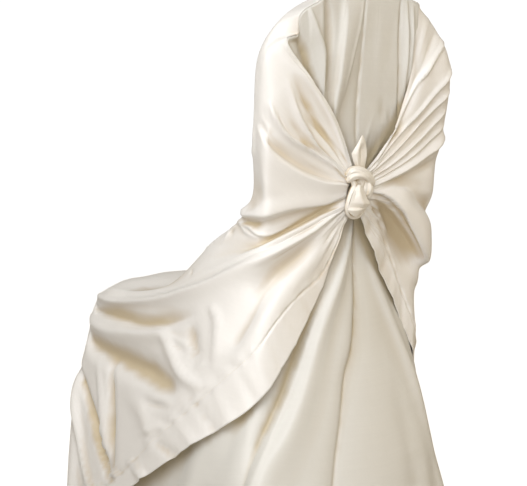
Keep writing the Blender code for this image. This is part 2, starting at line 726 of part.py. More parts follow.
def main():
    for old in list(bpy.data.objects):
        bpy.data.objects.remove(old)
    cover = bpy.data.collections.new("self_tie_chair_cover")
    bpy.context.scene.collection.children.link(cover)
    outside = material("ivory satin", (0.84, 0.77, 0.65), 0.40)
    back = material("ivory satin, back panel", (0.80, 0.75, 0.66), 0.42)
    tied = material("ivory satin, tied ends", (0.85, 0.79, 0.68), 0.38)

    wrap = cloth(np.array([wrap_points(s) for s in WRAP_SECTIONS]), WRAP_STATIONS, WRAP_FOLDS, 1)
    rows = [arch(wrap, PANEL_STATIONS), *map(panel_points, PANEL_SECTIONS)]
    edge = arch(wrap, fine_columns(PANEL_STATIONS))
    panel = cloth(np.array(rows), PANEL_STATIONS, PANEL_FOLDS, -1, edge)

    sheet("wrap", coarse(wrap, WRAP_DOWN, WRAP_ALONG), outside, cover)
    sheet("back_panel", coarse(panel, PANEL_DOWN, PANEL_ALONG), back, cover)
    knot("knot", tied, cover)
    for name, sections in TIE_ENDS.items():
        sheet(name, tie_end(sections), tied, cover)


main()
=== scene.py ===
import math
from collections import namedtuple

import bmesh
import bpy
import numpy as np
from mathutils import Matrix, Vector
from mathutils.bvhtree import BVHTree


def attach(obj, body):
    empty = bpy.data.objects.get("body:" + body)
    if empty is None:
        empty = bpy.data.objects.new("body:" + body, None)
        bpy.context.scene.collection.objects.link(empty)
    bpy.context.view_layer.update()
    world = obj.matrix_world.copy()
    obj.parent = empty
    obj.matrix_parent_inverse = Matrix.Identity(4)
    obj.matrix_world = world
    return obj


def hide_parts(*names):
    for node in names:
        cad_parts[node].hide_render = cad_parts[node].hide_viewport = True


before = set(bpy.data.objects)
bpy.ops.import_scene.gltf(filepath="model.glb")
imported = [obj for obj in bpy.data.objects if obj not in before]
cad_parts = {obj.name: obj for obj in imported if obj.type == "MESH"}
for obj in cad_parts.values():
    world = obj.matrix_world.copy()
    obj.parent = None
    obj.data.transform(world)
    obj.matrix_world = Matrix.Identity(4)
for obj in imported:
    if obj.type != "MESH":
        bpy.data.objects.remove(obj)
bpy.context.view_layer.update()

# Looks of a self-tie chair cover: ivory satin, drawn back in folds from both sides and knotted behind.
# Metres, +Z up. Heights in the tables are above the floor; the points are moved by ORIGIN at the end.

# ---------------------------------------------------------------- driving dimensions, as in the solids
SEAT_HEIGHT = 0.455
TOP_HEIGHT = 0.985
LEAN = math.tan(math.radians(12.0))
BACK_FOOT_Y = 0.225
BACK_DEPTH = 0.034
# The backrest's half width at each height.
BACK_OUTLINE = [
    (0.455, 0.157), (0.560, 0.166), (0.650, 0.181), (0.730, 0.192), (0.810, 0.199),
    (0.850, 0.195), (0.876, 0.186), (0.905, 0.168), (0.936, 0.142), (0.957, 0.112),
]
# The upright oval, its sides straightened, on which the cloth's lines enter the knot.
KNOT_X = 0.002
KNOT_HEIGHT = 0.643
KNOT_OUT = 0.034
KNOT_HALF_WIDTH = 0.022
KNOT_HALF_HEIGHT = 0.0415
KNOT_SQUARENESS = 0.6
CAD_CLOTH = 0.002
# The plain cloth is read in this many steps from one station or section to the next, and softened so often.
FINE = 8
RELAXING = 5

# The finished cloth is thinner than its solid, and the gap between the wrap and the panel wider.
CLOTH = 0.0011
SEAM_GAP = 0.0009
# The backrest's edges: how far behind its rear face and how far beyond its width the cloth passes them.
REAR_EDGE_OUT = 0.010
FRONT_EDGE_WIDE = 0.004


def rear_y(height, out=0.0):
    """Y of the backrest's rear face, which leans back, moved out by a distance."""
    return BACK_FOOT_Y + (height - SEAT_HEIGHT) * LEAN + out


def half_width(height):
    """Half the backrest's width at a height."""
    heights, widths = zip(*BACK_OUTLINE)
    return float(np.interp(height, heights, widths))


def rear_edge(side, height, out=REAR_EDGE_OUT, wide=0.0):
    """A point near the backrest's rear edge; side is 1 for the sitter's left and -1 for the right."""
    return (side * (half_width(height) + wide), rear_y(height, out), height)


def front_edge(side, height, wide=FRONT_EDGE_WIDE, drawn_back=0.0):
    """The same near its front edge, where the cloth may be drawn back from it."""
    return (side * (half_width(height) + wide), rear_y(height, drawn_back - BACK_DEPTH), height)


def behind(x, height, out):
    """A point behind the backrest's rear face."""
    return (x, rear_y(height, out), height)


ORIGIN = np.array(behind(0.0, TOP_HEIGHT - CAD_CLOTH, -BACK_DEPTH / 2))

# ---------------------------------------------------------------- the camera
IMAGE_WIDTH, IMAGE_HEIGHT = 527, 486
FOCAL_PIXELS = 1190
EYE_LEVEL_PIXEL = (258, 198)
SENSOR_MM = 36.0
CAMERA_TURN = math.radians(36.5)
CAMERA_AWAY = 2.2
CAMERA_HEIGHT = 0.637
CAMERA_AIM_Y = 0.02


def add_camera():
    """The camera stands behind the chair, turned towards the sitter's left, and looks level."""
    data = bpy.data.cameras.new("camera")
    data.sensor_width = SENSOR_MM
    data.lens = FOCAL_PIXELS / IMAGE_WIDTH * SENSOR_MM
    data.shift_x = (IMAGE_WIDTH / 2 - EYE_LEVEL_PIXEL[0]) / IMAGE_WIDTH
    data.shift_y = (EYE_LEVEL_PIXEL[1] - IMAGE_HEIGHT / 2) / IMAGE_WIDTH
    camera = bpy.data.objects.new("camera", data)
    away = CAMERA_AWAY * np.array([math.sin(CAMERA_TURN), math.cos(CAMERA_TURN)])
    camera.location = Vector((away[0], CAMERA_AIM_Y + away[1], CAMERA_HEIGHT)) - Vector(ORIGIN)
    camera.rotation_euler = (math.radians(90), 0, math.radians(180) - CAMERA_TURN)
    bpy.context.scene.collection.objects.link(camera)
    bpy.context.scene.camera = camera


add_camera()

# ---------------------------------------------------------------- the wrap's form
# The wrap's sections, from the neck down to its hem. Each is one line of the cloth, from the knot round the
# sitter's left side, over the front and round the right side back to the knot.
# knot: degrees from upright at which the line leaves the knot, left and right.
# left and right: points near the knot, at the backrest's rear edge, on the side, and at the front edge.
# middle: y and height at the front's middle.
WrapSection = namedtuple("WrapSection", "name knot left middle right")
WRAP_SECTIONS = [
    WrapSection("seam", knot=(27, 20), middle=(rear_y(0.985, 0.002), 0.985),
                left=[behind(0.054, 0.756, 0.020), behind(0.115, 0.825, 0.014),
                      behind(0.171, 0.895, 0.003), behind(0.125, 0.9485, 0.002)],
                right=[behind(-0.080, 0.765, 0.022), behind(-0.107, 0.865, 0.014),
                       behind(-0.106, 0.961, 0.003), behind(-0.078, 0.972, 0.002)]),
    WrapSection("crown", knot=(33, 26), middle=(rear_y(0.985, -BACK_DEPTH), 0.983),
                left=[behind(0.064, 0.757, 0.020), behind(0.130, 0.830, 0.014),
                      behind(0.185, 0.880, -0.012), behind(0.128, 0.9475, -BACK_DEPTH)],
                right=[behind(-0.088, 0.757, 0.022), behind(-0.134, 0.862, 0.015),
                       behind(-0.152, 0.935, -0.012), behind(-0.128, 0.9485, -BACK_DEPTH)]),
    WrapSection("upper", knot=(45, 38), middle=(rear_y(0.91, -BACK_DEPTH - 0.004), 0.91),
                left=[behind(0.085, 0.742, 0.019), behind(0.160, 0.805, 0.013),
                      rear_edge(1, 0.845, -0.012), front_edge(1, 0.860)],
                right=[behind(-0.100, 0.738, 0.022), behind(-0.172, 0.835, 0.014),
                       rear_edge(-1, 0.870, -0.010, 0.010), front_edge(-1, 0.868)]),
    WrapSection("gather", knot=(66, 54), middle=(rear_y(0.77, -BACK_DEPTH - 0.004), 0.77),
                left=[behind(0.098, 0.675, 0.024), rear_edge(1, 0.722, 0.012, -0.006),
                      rear_edge(1, 0.738, -0.010, -0.004), front_edge(1, 0.752, -0.004, 0.008)],
                right=[behind(-0.112, 0.710, 0.026), behind(-0.196, 0.778, 0.003),
                       rear_edge(-1, 0.795, -0.012, 0.005), front_edge(-1, 0.790, 0.004)]),
    WrapSection("band", knot=(92, 78), middle=(rear_y(0.62, -BACK_DEPTH - 0.012), 0.62),
                left=[behind(0.098, 0.634, 0.024), rear_edge(1, 0.622, 0.014, -0.004),
                      rear_edge(1, 0.618, -0.010, -0.005), front_edge(1, 0.626, -0.005, 0.008)],
                right=[behind(-0.114, 0.672, 0.028), behind(-0.198, 0.690, 0.005),
                       rear_edge(-1, 0.690, -0.014, 0.006), front_edge(-1, 0.68, 0.004)]),
    WrapSection("valley", knot=(110, 96), middle=(0.160, 0.505),
                left=[behind(0.085, 0.603, 0.022), rear_edge(1, 0.568, 0.008),
                      (0.184, 0.175, 0.574), (0.182, 0.126, 0.550)],
                right=[behind(-0.114, 0.628, 0.038), behind(-0.190, 0.548, 0.034),
                       (-0.212, 0.180, 0.510), (-0.190, 0.125, 0.500)]),
    WrapSection("ridge", knot=(120, 110), middle=(0.020, 0.480),
                left=[behind(0.085, 0.590, 0.026), behind(0.172, 0.548, 0.018),
                      (0.206, 0.120, 0.506), (0.208, 0.010, 0.474)],
                right=[behind(-0.104, 0.592, 0.027), behind(-0.191, 0.508, 0.018),
                       (-0.212, 0.110, 0.490), (-0.206, 0.000, 0.470)]),
    WrapSection("seat_edge", knot=(130, 122), middle=(-0.222, 0.462),
                left=[behind(0.082, 0.572, 0.028), behind(0.176, 0.512, 0.024),
                      (0.222, 0.100, 0.456), (0.213, -0.212, 0.457)],
                right=[behind(-0.104, 0.560, 0.024), behind(-0.188, 0.468, 0.014),
                       (-0.220, 0.080, 0.450), (-0.213, -0.212, 0.457)]),
    WrapSection("apron", knot=(139, 133), middle=(-0.244, 0.270),
                left=[behind(0.075, 0.550, 0.032), (0.186, 0.272, 0.452),
                      (0.238, 0.060, 0.345), (0.236, -0.246, 0.295)],
                right=[behind(-0.104, 0.530, 0.026), (-0.184, 0.246, 0.418),
                       (-0.234, 0.060, 0.330), (-0.236, -0.244, 0.290)]),
    WrapSection("hem_seam", knot=(147, 142), middle=(-0.262, 0.036),
                left=[behind(0.065, 0.520, 0.036), (0.188, 0.286, 0.400),
                      (0.250, 0.090, 0.252), (0.256, -0.262, 0.036)],
                right=[behind(-0.098, 0.508, 0.028), (-0.186, 0.244, 0.384),
                       (-0.244, 0.080, 0.250), (-0.256, -0.262, 0.036)]),
    WrapSection("edge", knot=(156, 151), middle=(-0.264, 0.006),
                left=[behind(0.054, 0.492, 0.040), (0.174, 0.292, 0.335),
                      (0.254, 0.122, 0.208), (0.258, -0.252, 0.006)],
                right=[behind(-0.086, 0.498, 0.034), (-0.186, 0.242, 0.345),
                       (-0.242, 0.110, 0.220), (-0.258, -0.252, 0.006)]),
]
# Where a section's 13 points lie along it, from the left of the knot to its right.
WRAP_STATIONS = [0.0, 0.09, 0.18, 0.26, 0.36, 0.43, 0.50, 0.57, 0.64, 0.74, 0.82, 0.91, 1.0]
LAST_STATION = len(WRAP_STATIONS) - 1
LAST_SECTION = len(WRAP_SECTIONS) - 1
# The stations at the left and right end of the arch, where the wrap leaves the back panel's top edge.
SHOULDER_LEFT = 3
SHOULDER_RIGHT = 9
# The quarter points: how far out they lie, and how much of the front edge's depth and height they take.
QUARTER_OUT = 0.45
QUARTER_EDGE = 0.25

# ---------------------------------------------------------------- the wrap's folds
# A fold runs along its path of (station, section) pairs. Heights and widths are in mm and spread evenly along
# it, and a single one holds all the way; a negative height is a trough. left_mm and right_mm are its widths
# on the left and right hand of its path, seen from outside; the left ones hold for both where no others are
# given. crest is 2 for a rounded fold, less for a sharper one and more for a flatter one; lean tips it to the
# left hand; dip is how deep the cloth sinks again beside it, as a share of its height.
Fold = namedtuple("Fold", "name path high_mm left_mm right_mm crest lean dip", defaults=(None, 2.0, 0.0, 0.0))
# The dip beside a fold is this much wider than the fold.
DIP_WIDER = 2.3
# Points read along each fold's path, and how many stations and sections away from it the fold is looked for.
FOLD_READINGS = 120
FOLD_MARGIN = (1.6, 2.2)

WRAP_MAIN_FOLDS = [
    # The left side, drawn back to the knot.
    Fold("left, rolled edge band", [(0.1, 1.3), (0.6, 1.0), (1.4, 0.8), (2.1, 0.7), (2.8, 0.45)],
         [1, 5, 8, 8, 2], [2.5, 4.5, 7, 9, 13]),
    Fold("left, trough by the rolled edge", [(0.1, 2.0), (0.6, 1.85), (1.1, 1.85), (1.6, 1.7), (2.2, 1.4)],
         [0, -4, -6, -6, 0], [1.5, 3, 4, 6, 9], crest=1.8),
    Fold("left, upper rib", [(0.05, 2.2), (0.38, 2.34), (0.94, 2.38), (1.25, 2.28), (1.6, 2.12), (2.2, 1.7)],
         [1, 4.5, 8, 9, 7, 0], [2.5, 4, 5, 6, 7, 10], [1.5, 1.8, 2, 2.4, 3.2, 8], crest=1.3, dip=0.3),
    Fold("left, lower rib",
         [(0.05, 2.55), (0.47, 2.5), (1.06, 2.53), (1.53, 2.62), (2.03, 2.55), (2.5, 2.45)],
         [1, 4.5, 8, 9, 7, 0], [2.5, 4, 5, 6, 7, 9], [1.5, 1.8, 2, 2.4, 3.2, 6], crest=1.3, dip=0.3),
    Fold("left, great fold",
         [(0.0, 2.95), (0.12, 3.06), (0.53, 3.16), (0.94, 3.14), (1.5, 3.12), (2.06, 3.07), (2.53, 2.98),
          (3.0, 2.94), (3.4, 2.9)],
         [2, 6, 9, 9, 8, 6, 3, 1, 0], [5, 12, 22, 30, 34, 34, 28, 20, 16],
         [1.2, 1.5, 2, 2.5, 3, 3, 3.5, 4, 6], crest=1.35),
    Fold("left, hollow over the great fold", [(0.3, 2.9), (0.9, 2.9), (1.5, 2.92), (2.1, 2.88), (2.8, 2.8)],
         [0, -3.5, -5.5, -5, 0], [3, 5, 6, 7, 7], [4, 7, 10, 12, 14]),
    Fold("left, band's lower lip",
         [(0.0, 3.95), (0.44, 4.3), (0.81, 4.24), (1.28, 4.14), (1.69, 4.14), (2.31, 4.16), (3.0, 4.17),
          (3.6, 4.19), (3.95, 4.2)],
         [1, 4, 6, 7, 8, 12, 15, 13, 3], [3, 3.5, 4, 5, 6, 6, 6, 6, 7], [5, 10, 16, 20, 22, 20, 15, 11, 8],
         crest=1.7, lean=0.15),
    Fold("left, under the band", [(0.25, 4.6), (0.8, 4.52), (1.3, 4.4), (1.8, 4.38), (2.4, 4.38), (3.2, 4.4)],
         [0, -2, -3, -4, -5, 0], [4, 7, 9, 9, 8, 7], [2, 3, 4, 4, 5, 6]),
    Fold("left, small fold under the band",
         [(3.8, 4.4), (3.3, 4.46), (2.53, 4.58), (2.09, 4.78), (1.6, 4.85), (1.1, 4.78)],
         [1, 4, 5, 4.5, 3, 0], [5, 5, 5, 5, 5, 4], [3], crest=1.4),
    Fold("left, deep valley",
         [(0.05, 4.45), (0.22, 4.56), (0.66, 4.84), (1.09, 5.08), (1.44, 5.14), (1.8, 5.2), (2.3, 5.4),
          (2.9, 5.6)],
         [-1, -3, -5, -7, -7, -6, -4, 0], [2, 2.2, 2.6, 3, 3.5, 4, 5, 6], [3, 6, 8, 9, 9, 9, 9, 8],
         crest=1.5),
    Fold("left, fold below the valley",
         [(0.05, 4.95), (0.5, 5.3), (1.0, 5.5), (1.6, 5.56), (2.2, 5.7), (2.9, 6.0)],
         [1, 4, 6, 6, 5, 0], [4, 7, 9, 10, 10, 10], [2, 3, 3.5, 4, 5, 6], crest=1.5),
    Fold("left, long ridge",
         [(0.06, 5.9), (0.5, 6.15), (0.97, 6.35), (1.56, 6.36), (2.19, 6.25), (2.66, 6.44), (3.0, 6.62),
          (3.25, 6.91), (3.62, 7.09), (4.0, 7.02)],
         [1, 5, 9, 12, 13, 13, 13, 12, 9, 4], [3, 7, 12, 17, 20, 18, 12, 8, 6, 5],
         [3, 4, 5, 6, 7, 7, 7, 7, 6, 5], crest=1.6),
    Fold("left, between the two long folds", [(0.4, 5.85), (1.0, 6.0), (1.7, 6.02), (2.4, 6.1)],
         [0, -4, -4, 0], [3, 4, 5, 6]),
    Fold("left, brown hollow",
         [(0.78, 7.28), (1.2, 7.43), (1.58, 7.48), (1.92, 7.6), (2.14, 7.83), (2.27, 8.13), (2.3, 8.48)],
         [0, -9, -14, -16, -14, -9, 0], [8, 11, 14, 16, 16, 14, 11], [12, 18, 25, 30, 28, 22, 15]),
    Fold("left, lit fold by the hem", [(0.5, 8.0), (1.0, 8.25), (1.5, 8.3), (1.9, 8.35), (2.3, 8.7)],
         [0, 4, 5, 4, 0], [6, 12, 18, 20, 16]),
    # The seat's left side.
    Fold("side, dark crease below the ridge",
         [(3.98, 7.2), (3.84, 7.31), (3.5, 7.36), (3.25, 7.41), (3.0, 7.3), (2.75, 7.2)],
         [-3, -9, -13, -13, -9, 0], [5, 11, 17, 20, 19, 14], [3, 4.5, 6, 7, 8, 8]),
    Fold("side, lit fold from the corner",
         [(3.98, 7.38), (3.81, 7.46), (3.59, 7.52), (3.44, 7.52), (3.19, 7.49), (3.02, 7.52), (2.88, 7.84),
          (2.75, 8.31), (2.62, 8.72), (2.58, 9.0)],
         [3, 7, 9, 9.5, 9, 9, 9, 8, 5, 0], [5, 6, 7, 8, 9, 11, 12, 12, 10, 8],
         [8, 12, 16, 18, 18, 16, 13, 11, 9, 8]),
    Fold("side, edge of the flat",
         [(2.62, 7.1), (2.56, 7.28), (2.5, 7.5), (2.47, 7.81), (2.47, 8.25), (2.5, 8.6)],
         [0, 5, 6, 6, 4, 0], [8, 10, 12, 12, 11, 9], [5, 5, 5.5, 6, 6, 6]),
    Fold("side, flat", [(2.8, 7.35), (2.72, 7.6), (2.66, 7.95), (2.62, 8.3)],
         [0, -6, -7, 0], [10, 12, 12, 10]),
    Fold("side, broad hollow",
         [(3.97, 7.55), (3.81, 7.68), (3.4, 7.85), (3.1, 8.05), (2.92, 8.28), (2.82, 8.55)],
         [-4, -14, -20, -19, -12, 0], [9, 17, 25, 28, 23, 14], [8, 13, 18, 19, 15, 10]),
    Fold("side, swell", [(3.3, 8.2), (3.15, 8.5), (3.1, 8.9), (3.15, 9.4)], [0, 5, 5, 0], [16, 18, 18, 14]),
    Fold("corner, dark crease",
         [(4.02, 7.88), (3.78, 8.09), (3.59, 8.38), (3.47, 8.75), (3.44, 9.0), (3.4, 9.4)],
         [-5, -14, -17, -15, -10, 0], [5, 7, 9, 9, 8, 7]),
    Fold("corner, second crease", [(3.52, 7.72), (3.45, 8.12), (3.42, 8.5), (3.4, 8.91)],
         [0, -10, -13, -6], [8, 10, 10, 7]),
    Fold("corner, lit pleat", [(3.66, 7.8), (3.55, 8.15), (3.48, 8.6), (3.44, 8.9)],
         [0, 7, 8, 3], [5, 6, 6, 5]),
    Fold("corner, lit fold", [(4.05, 7.95), (3.9, 8.2), (3.72, 8.55), (3.6, 9.0), (3.55, 9.6)],
         [3, 9, 10, 8, 3], [7, 8, 8, 8, 8]),
    Fold("corner, outer crease", [(4.2, 8.1), (4.05, 8.6), (3.9, 9.2), (3.8, 9.8)],
         [0, -6, -7, -4], [7, 8, 9, 9]),
    Fold("corner, outer swell", [(3.97, 7.75), (3.97, 8.1), (3.88, 8.6), (3.84, 9.2), (3.82, 9.8)],
         [0, 8, 10, 9, 7], [14, 18, 20, 20, 20]),
    # The front, which hangs in broad soft folds, the front of the backrest and the top of the seat.
    Fold("front, left fold", [(4.5, 7.4), (4.45, 8.4), (4.4, 10)], [0, 6, 9], [14, 18, 24]),
    Fold("front, left crease", [(4.72, 7.5), (4.7, 8.4), (4.68, 10)], [0, -4, -5], [10, 12, 14]),
    Fold("front, left hollow", [(4.95, 7.6), (4.98, 8.6), (5.0, 10)], [0, -3, -6], [20, 24, 26]),
    Fold("front, small fold", [(5.3, 7.5), (5.3, 8.5), (5.35, 10)], [0, 3, 5], [10, 12, 16]),
    Fold("front, middle fold", [(5.9, 7.5), (5.75, 8.6), (5.7, 10)], [0, 4, 7], [16, 22, 28]),
    Fold("front, middle crease", [(6.3, 7.7), (6.35, 8.8), (6.3, 10)], [0, -3, -5], [12, 16, 20]),
    Fold("front, right hollow", [(7.0, 7.6), (7.05, 8.6), (7.0, 10)], [0, -3, -6], [20, 24, 26]),
    Fold("front, right small fold", [(6.75, 7.6), (6.7, 8.6), (6.75, 10)], [0, 3, 4], [10, 12, 14]),
    Fold("front, right fold", [(7.5, 7.4), (7.55, 8.4), (7.6, 10)], [0, 6, 9], [14, 18, 24]),
    Fold("backrest front, left drag", [(3.9, 5.0), (4.4, 4.2), (5.0, 3.4), (5.5, 2.8)],
         [2, 4, 3, 0], [8, 10, 12, 14]),
    Fold("backrest front, left second drag", [(3.95, 4.3), (4.5, 3.4), (5.0, 2.6), (5.4, 2.0)],
         [2, 4, 3, 0], [8, 10, 12, 14]),
    Fold("backrest front, left upper drag", [(3.9, 3.3), (4.4, 2.6), (4.8, 1.9)], [2, 4, 0], [7, 9, 12]),
    Fold("backrest front, right drag", [(8.1, 5.0), (7.6, 4.2), (7.0, 3.5), (6.6, 3.0)],
         [2, 4, 3, 0], [8, 10, 12, 14]),
    Fold("backrest front, right second drag", [(8.05, 4.1), (7.5, 3.3), (7.0, 2.5)], [2, 4, 0], [8, 10, 12]),
    Fold("backrest front, right upper drag", [(8.1, 3.0), (7.6, 2.3), (7.2, 1.7)], [2, 4, 0], [7, 9, 12]),
    Fold("seat, back crease", [(4.2, 5.6), (5.0, 5.3), (6.0, 5.2), (7.0, 5.3), (7.8, 5.6)],
         [0, -5, -7, -5, 0], [8, 10, 12, 10, 8]),
    Fold("seat, cross fold", [(4.3, 6.6), (5.0, 6.1), (5.8, 5.8), (6.5, 5.7)],
         [0, 4, 4, 0], [10, 12, 12, 12]),
    Fold("seat, second cross fold", [(7.8, 6.7), (7.1, 6.3), (6.4, 6.15), (5.8, 6.2)],
         [0, 4, 3, 0], [10, 12, 12, 12]),
    Fold("seat, padding", [(4.62, 6.62), (5.0, 6.55), (6.0, 6.5), (7.0, 6.55), (7.38, 6.62)],
         [21, 27, 28, 23, 16], [62, 94, 102, 92, 58], crest=3.0),
    # The right side.
    Fold("right side, swag", [(8.05, 7.3), (8.6, 7.7), (9.2, 7.9), (10, 7.6)],
         [-2, -9, -7, 0], [12, 15, 18, 18]),
    Fold("right side, fold", [(8.1, 7.6), (8.7, 8.2), (9.4, 8.4), (10.4, 8.3)],
         [2, 9, 8, 0], [11, 14, 16, 18]),
    Fold("right side, lower swag", [(8.1, 8.3), (8.6, 8.8), (9.2, 8.95), (9.9, 8.8)],
         [-2, -7, -6, 0], [8, 12, 14, 14]),
    Fold("right side, upper ridge", [(8.05, 7.05), (8.8, 6.9), (9.6, 6.6), (10.4, 6.3)],
         [3, 8, 8, 0], [8, 10, 12, 12]),
    Fold("right, edge turned in", [(11.7, 0), (11.2, 0), (10.6, 0), (10, 0), (9.4, 0), (8.9, 0)],
         [0, -7, -11, -11, -6, 0], [8, 12, 14, 14, 12, 10]),
    Fold("left, edge turned in", [(1.2, 0), (1.8, 0), (2.4, 0), (3.0, 0)], [0, -4, -5, 0], [8, 12, 12, 10]),
    Fold("right, edge rib",
         [(11.95, 1.0), (11.5, 0.5), (11.1, 0.35), (10.72, 0.4), (10.34, 0.62), (10.09, 1.05), (9.78, 1.25),
          (9.3, 1.42), (9.03, 1.4)],
         [1, 4, 5, 5, 5.5, 6, 5.5, 4, 1], [2.5, 3, 3, 3.2, 3.5, 3.5, 4, 4, 5],
         [2, 2, 2.2, 2.4, 2.6, 2.8, 3, 3, 4], crest=1.4, dip=0.25),
    Fold("right, gap beside the edge rib",
         [(10.5, 0.35), (10.15, 0.68), (9.75, 0.88), (9.35, 1.05), (9.0, 1.1)],
         [0, -3, -4, -3, 0], [3, 5, 7, 8, 8]),
    Fold("right, rib by the edge",
         [(11.6, 0.4), (11.1, 0.15), (10.66, 0.18), (10.41, 0.25), (9.97, 0.25), (9.66, 0.38), (8.97, 0.7)],
         [0, 2, 2.5, 3, 3, 3, 1], [1.5, 2, 2.2, 2.4, 2.6, 2.8, 3.5], crest=1.4),
    Fold("right, second rib",
         [(11.95, 1.8), (11.5, 1.28), (11.22, 1.25), (10.97, 1.38), (10.72, 1.66), (10.5, 1.82), (10.0, 2.0),
          (9.53, 2.03), (9.16, 1.91)],
         [1, 3.5, 4, 4.5, 5, 5.5, 5.5, 4.5, 1], [2.5, 3, 3, 3.2, 3.5, 4, 4.5, 5, 6],
         [1.5, 1.6, 1.8, 2, 2.2, 2.5, 3, 3.5, 4], crest=1.3, dip=0.25),
    Fold("right, rib beside the second",
         [(11.95, 2.3), (11.5, 2.1), (11.16, 2.04), (10.91, 2.06), (10.69, 2.14), (10.4, 2.28), (10.03, 2.38),
          (9.6, 2.4)],
         [1, 3.5, 4.5, 5, 5, 5.5, 5, 0], [2.5, 3, 3.2, 3.5, 4, 4.5, 5, 6],
         [1.5, 1.6, 1.8, 2, 2.2, 2.6, 3.2, 4], crest=1.3, dip=0.25),
    Fold("right, third rib",
         [(11.95, 2.9), (11.59, 2.85), (11.3, 2.75), (10.97, 2.7), (10.53, 2.73), (10.28, 2.74), (9.9, 2.75)],
         [1, 3.5, 4.5, 5, 5.5, 5, 0], [2.5, 3.2, 3.5, 4, 4.5, 5, 6], [1.5, 1.6, 1.8, 2, 2.4, 2.8, 4],
         crest=1.3, dip=0.25),
    Fold("right, fourth rib",
         [(11.95, 3.35), (11.65, 3.25), (11.2, 3.15), (10.7, 3.12), (10.3, 3.1), (9.9, 3.1)],
         [1, 3, 4, 4, 3.5, 0], [2.5, 3.5, 4, 4.5, 5, 6], [1.5, 1.8, 2, 2.5, 3, 4], crest=1.4, dip=0.2),
    Fold("right, broad rib",
         [(12, 3.8), (11.78, 3.74), (11.34, 3.62), (11.0, 3.55), (10.69, 3.5), (10.38, 3.48), (9.88, 3.42),
          (9.4, 3.4)],
         [1, 4, 7, 8, 9, 9, 7, 0], [3, 5, 7, 9, 10, 11, 12, 12], [1.8, 2.2, 3, 4, 5, 6, 7, 8], crest=1.5,
         dip=0.2),
    Fold("right, under the broad rib", [(11.85, 4.02), (11.44, 3.92), (10.9, 3.85), (10.4, 3.8), (9.8, 3.75)],
         [0, -3, -4, -4, 0], [2.5, 3.5, 4.5, 5.5, 7], [4, 8, 12, 16, 16]),
    Fold("right, hollow", [(11.4, 4.25), (11.1, 4.2), (10.7, 4.25), (10.3, 4.3)],
         [0, -4, -4, 0], [8, 10, 12, 12]),
    Fold("right, waist", [(9.3, 4.5), (9.8, 4.5), (10.3, 4.52), (10.75, 4.6), (11.1, 4.5)],
         [-3, -12, -14, -8, 0], [12, 15, 16, 14, 10], [14, 16, 17, 15, 10]),
    Fold("right, swell of the ear",
         [(8.9, 0.9), (9.3, 1.6), (9.7, 2.3), (10.0, 2.9), (10.25, 3.6), (10.35, 4.0)],
         [4, 9, 9, 8, 7, 2], [22, 26, 28, 28, 24, 16]),
    Fold("right, big fold",
         [(12, 4.15), (11.75, 4.4), (11.5, 4.76), (11.28, 5.08), (10.88, 5.4), (10.5, 5.46), (10.15, 5.4),
          (9.8, 5.3), (9.5, 5.2)],
         [2, 7, 10, 13, 15, 14, 10, 6, 0], [5, 10, 14, 18, 22, 22, 20, 18, 16],
         [1.5, 1.6, 1.8, 2, 2.4, 3.5, 6, 9, 12], crest=1.5, lean=-0.5),
    Fold("right, under the big fold",
         [(11.85, 4.95), (11.6, 5.4), (11.35, 5.75), (10.95, 6.0), (10.5, 6.05), (10.15, 6.05), (9.7, 6.1)],
         [0, -8, -14, -17, -14, -4, 0], [3, 4, 5, 6, 7, 9, 12], [8, 16, 24, 30, 32, 30, 26]),
]

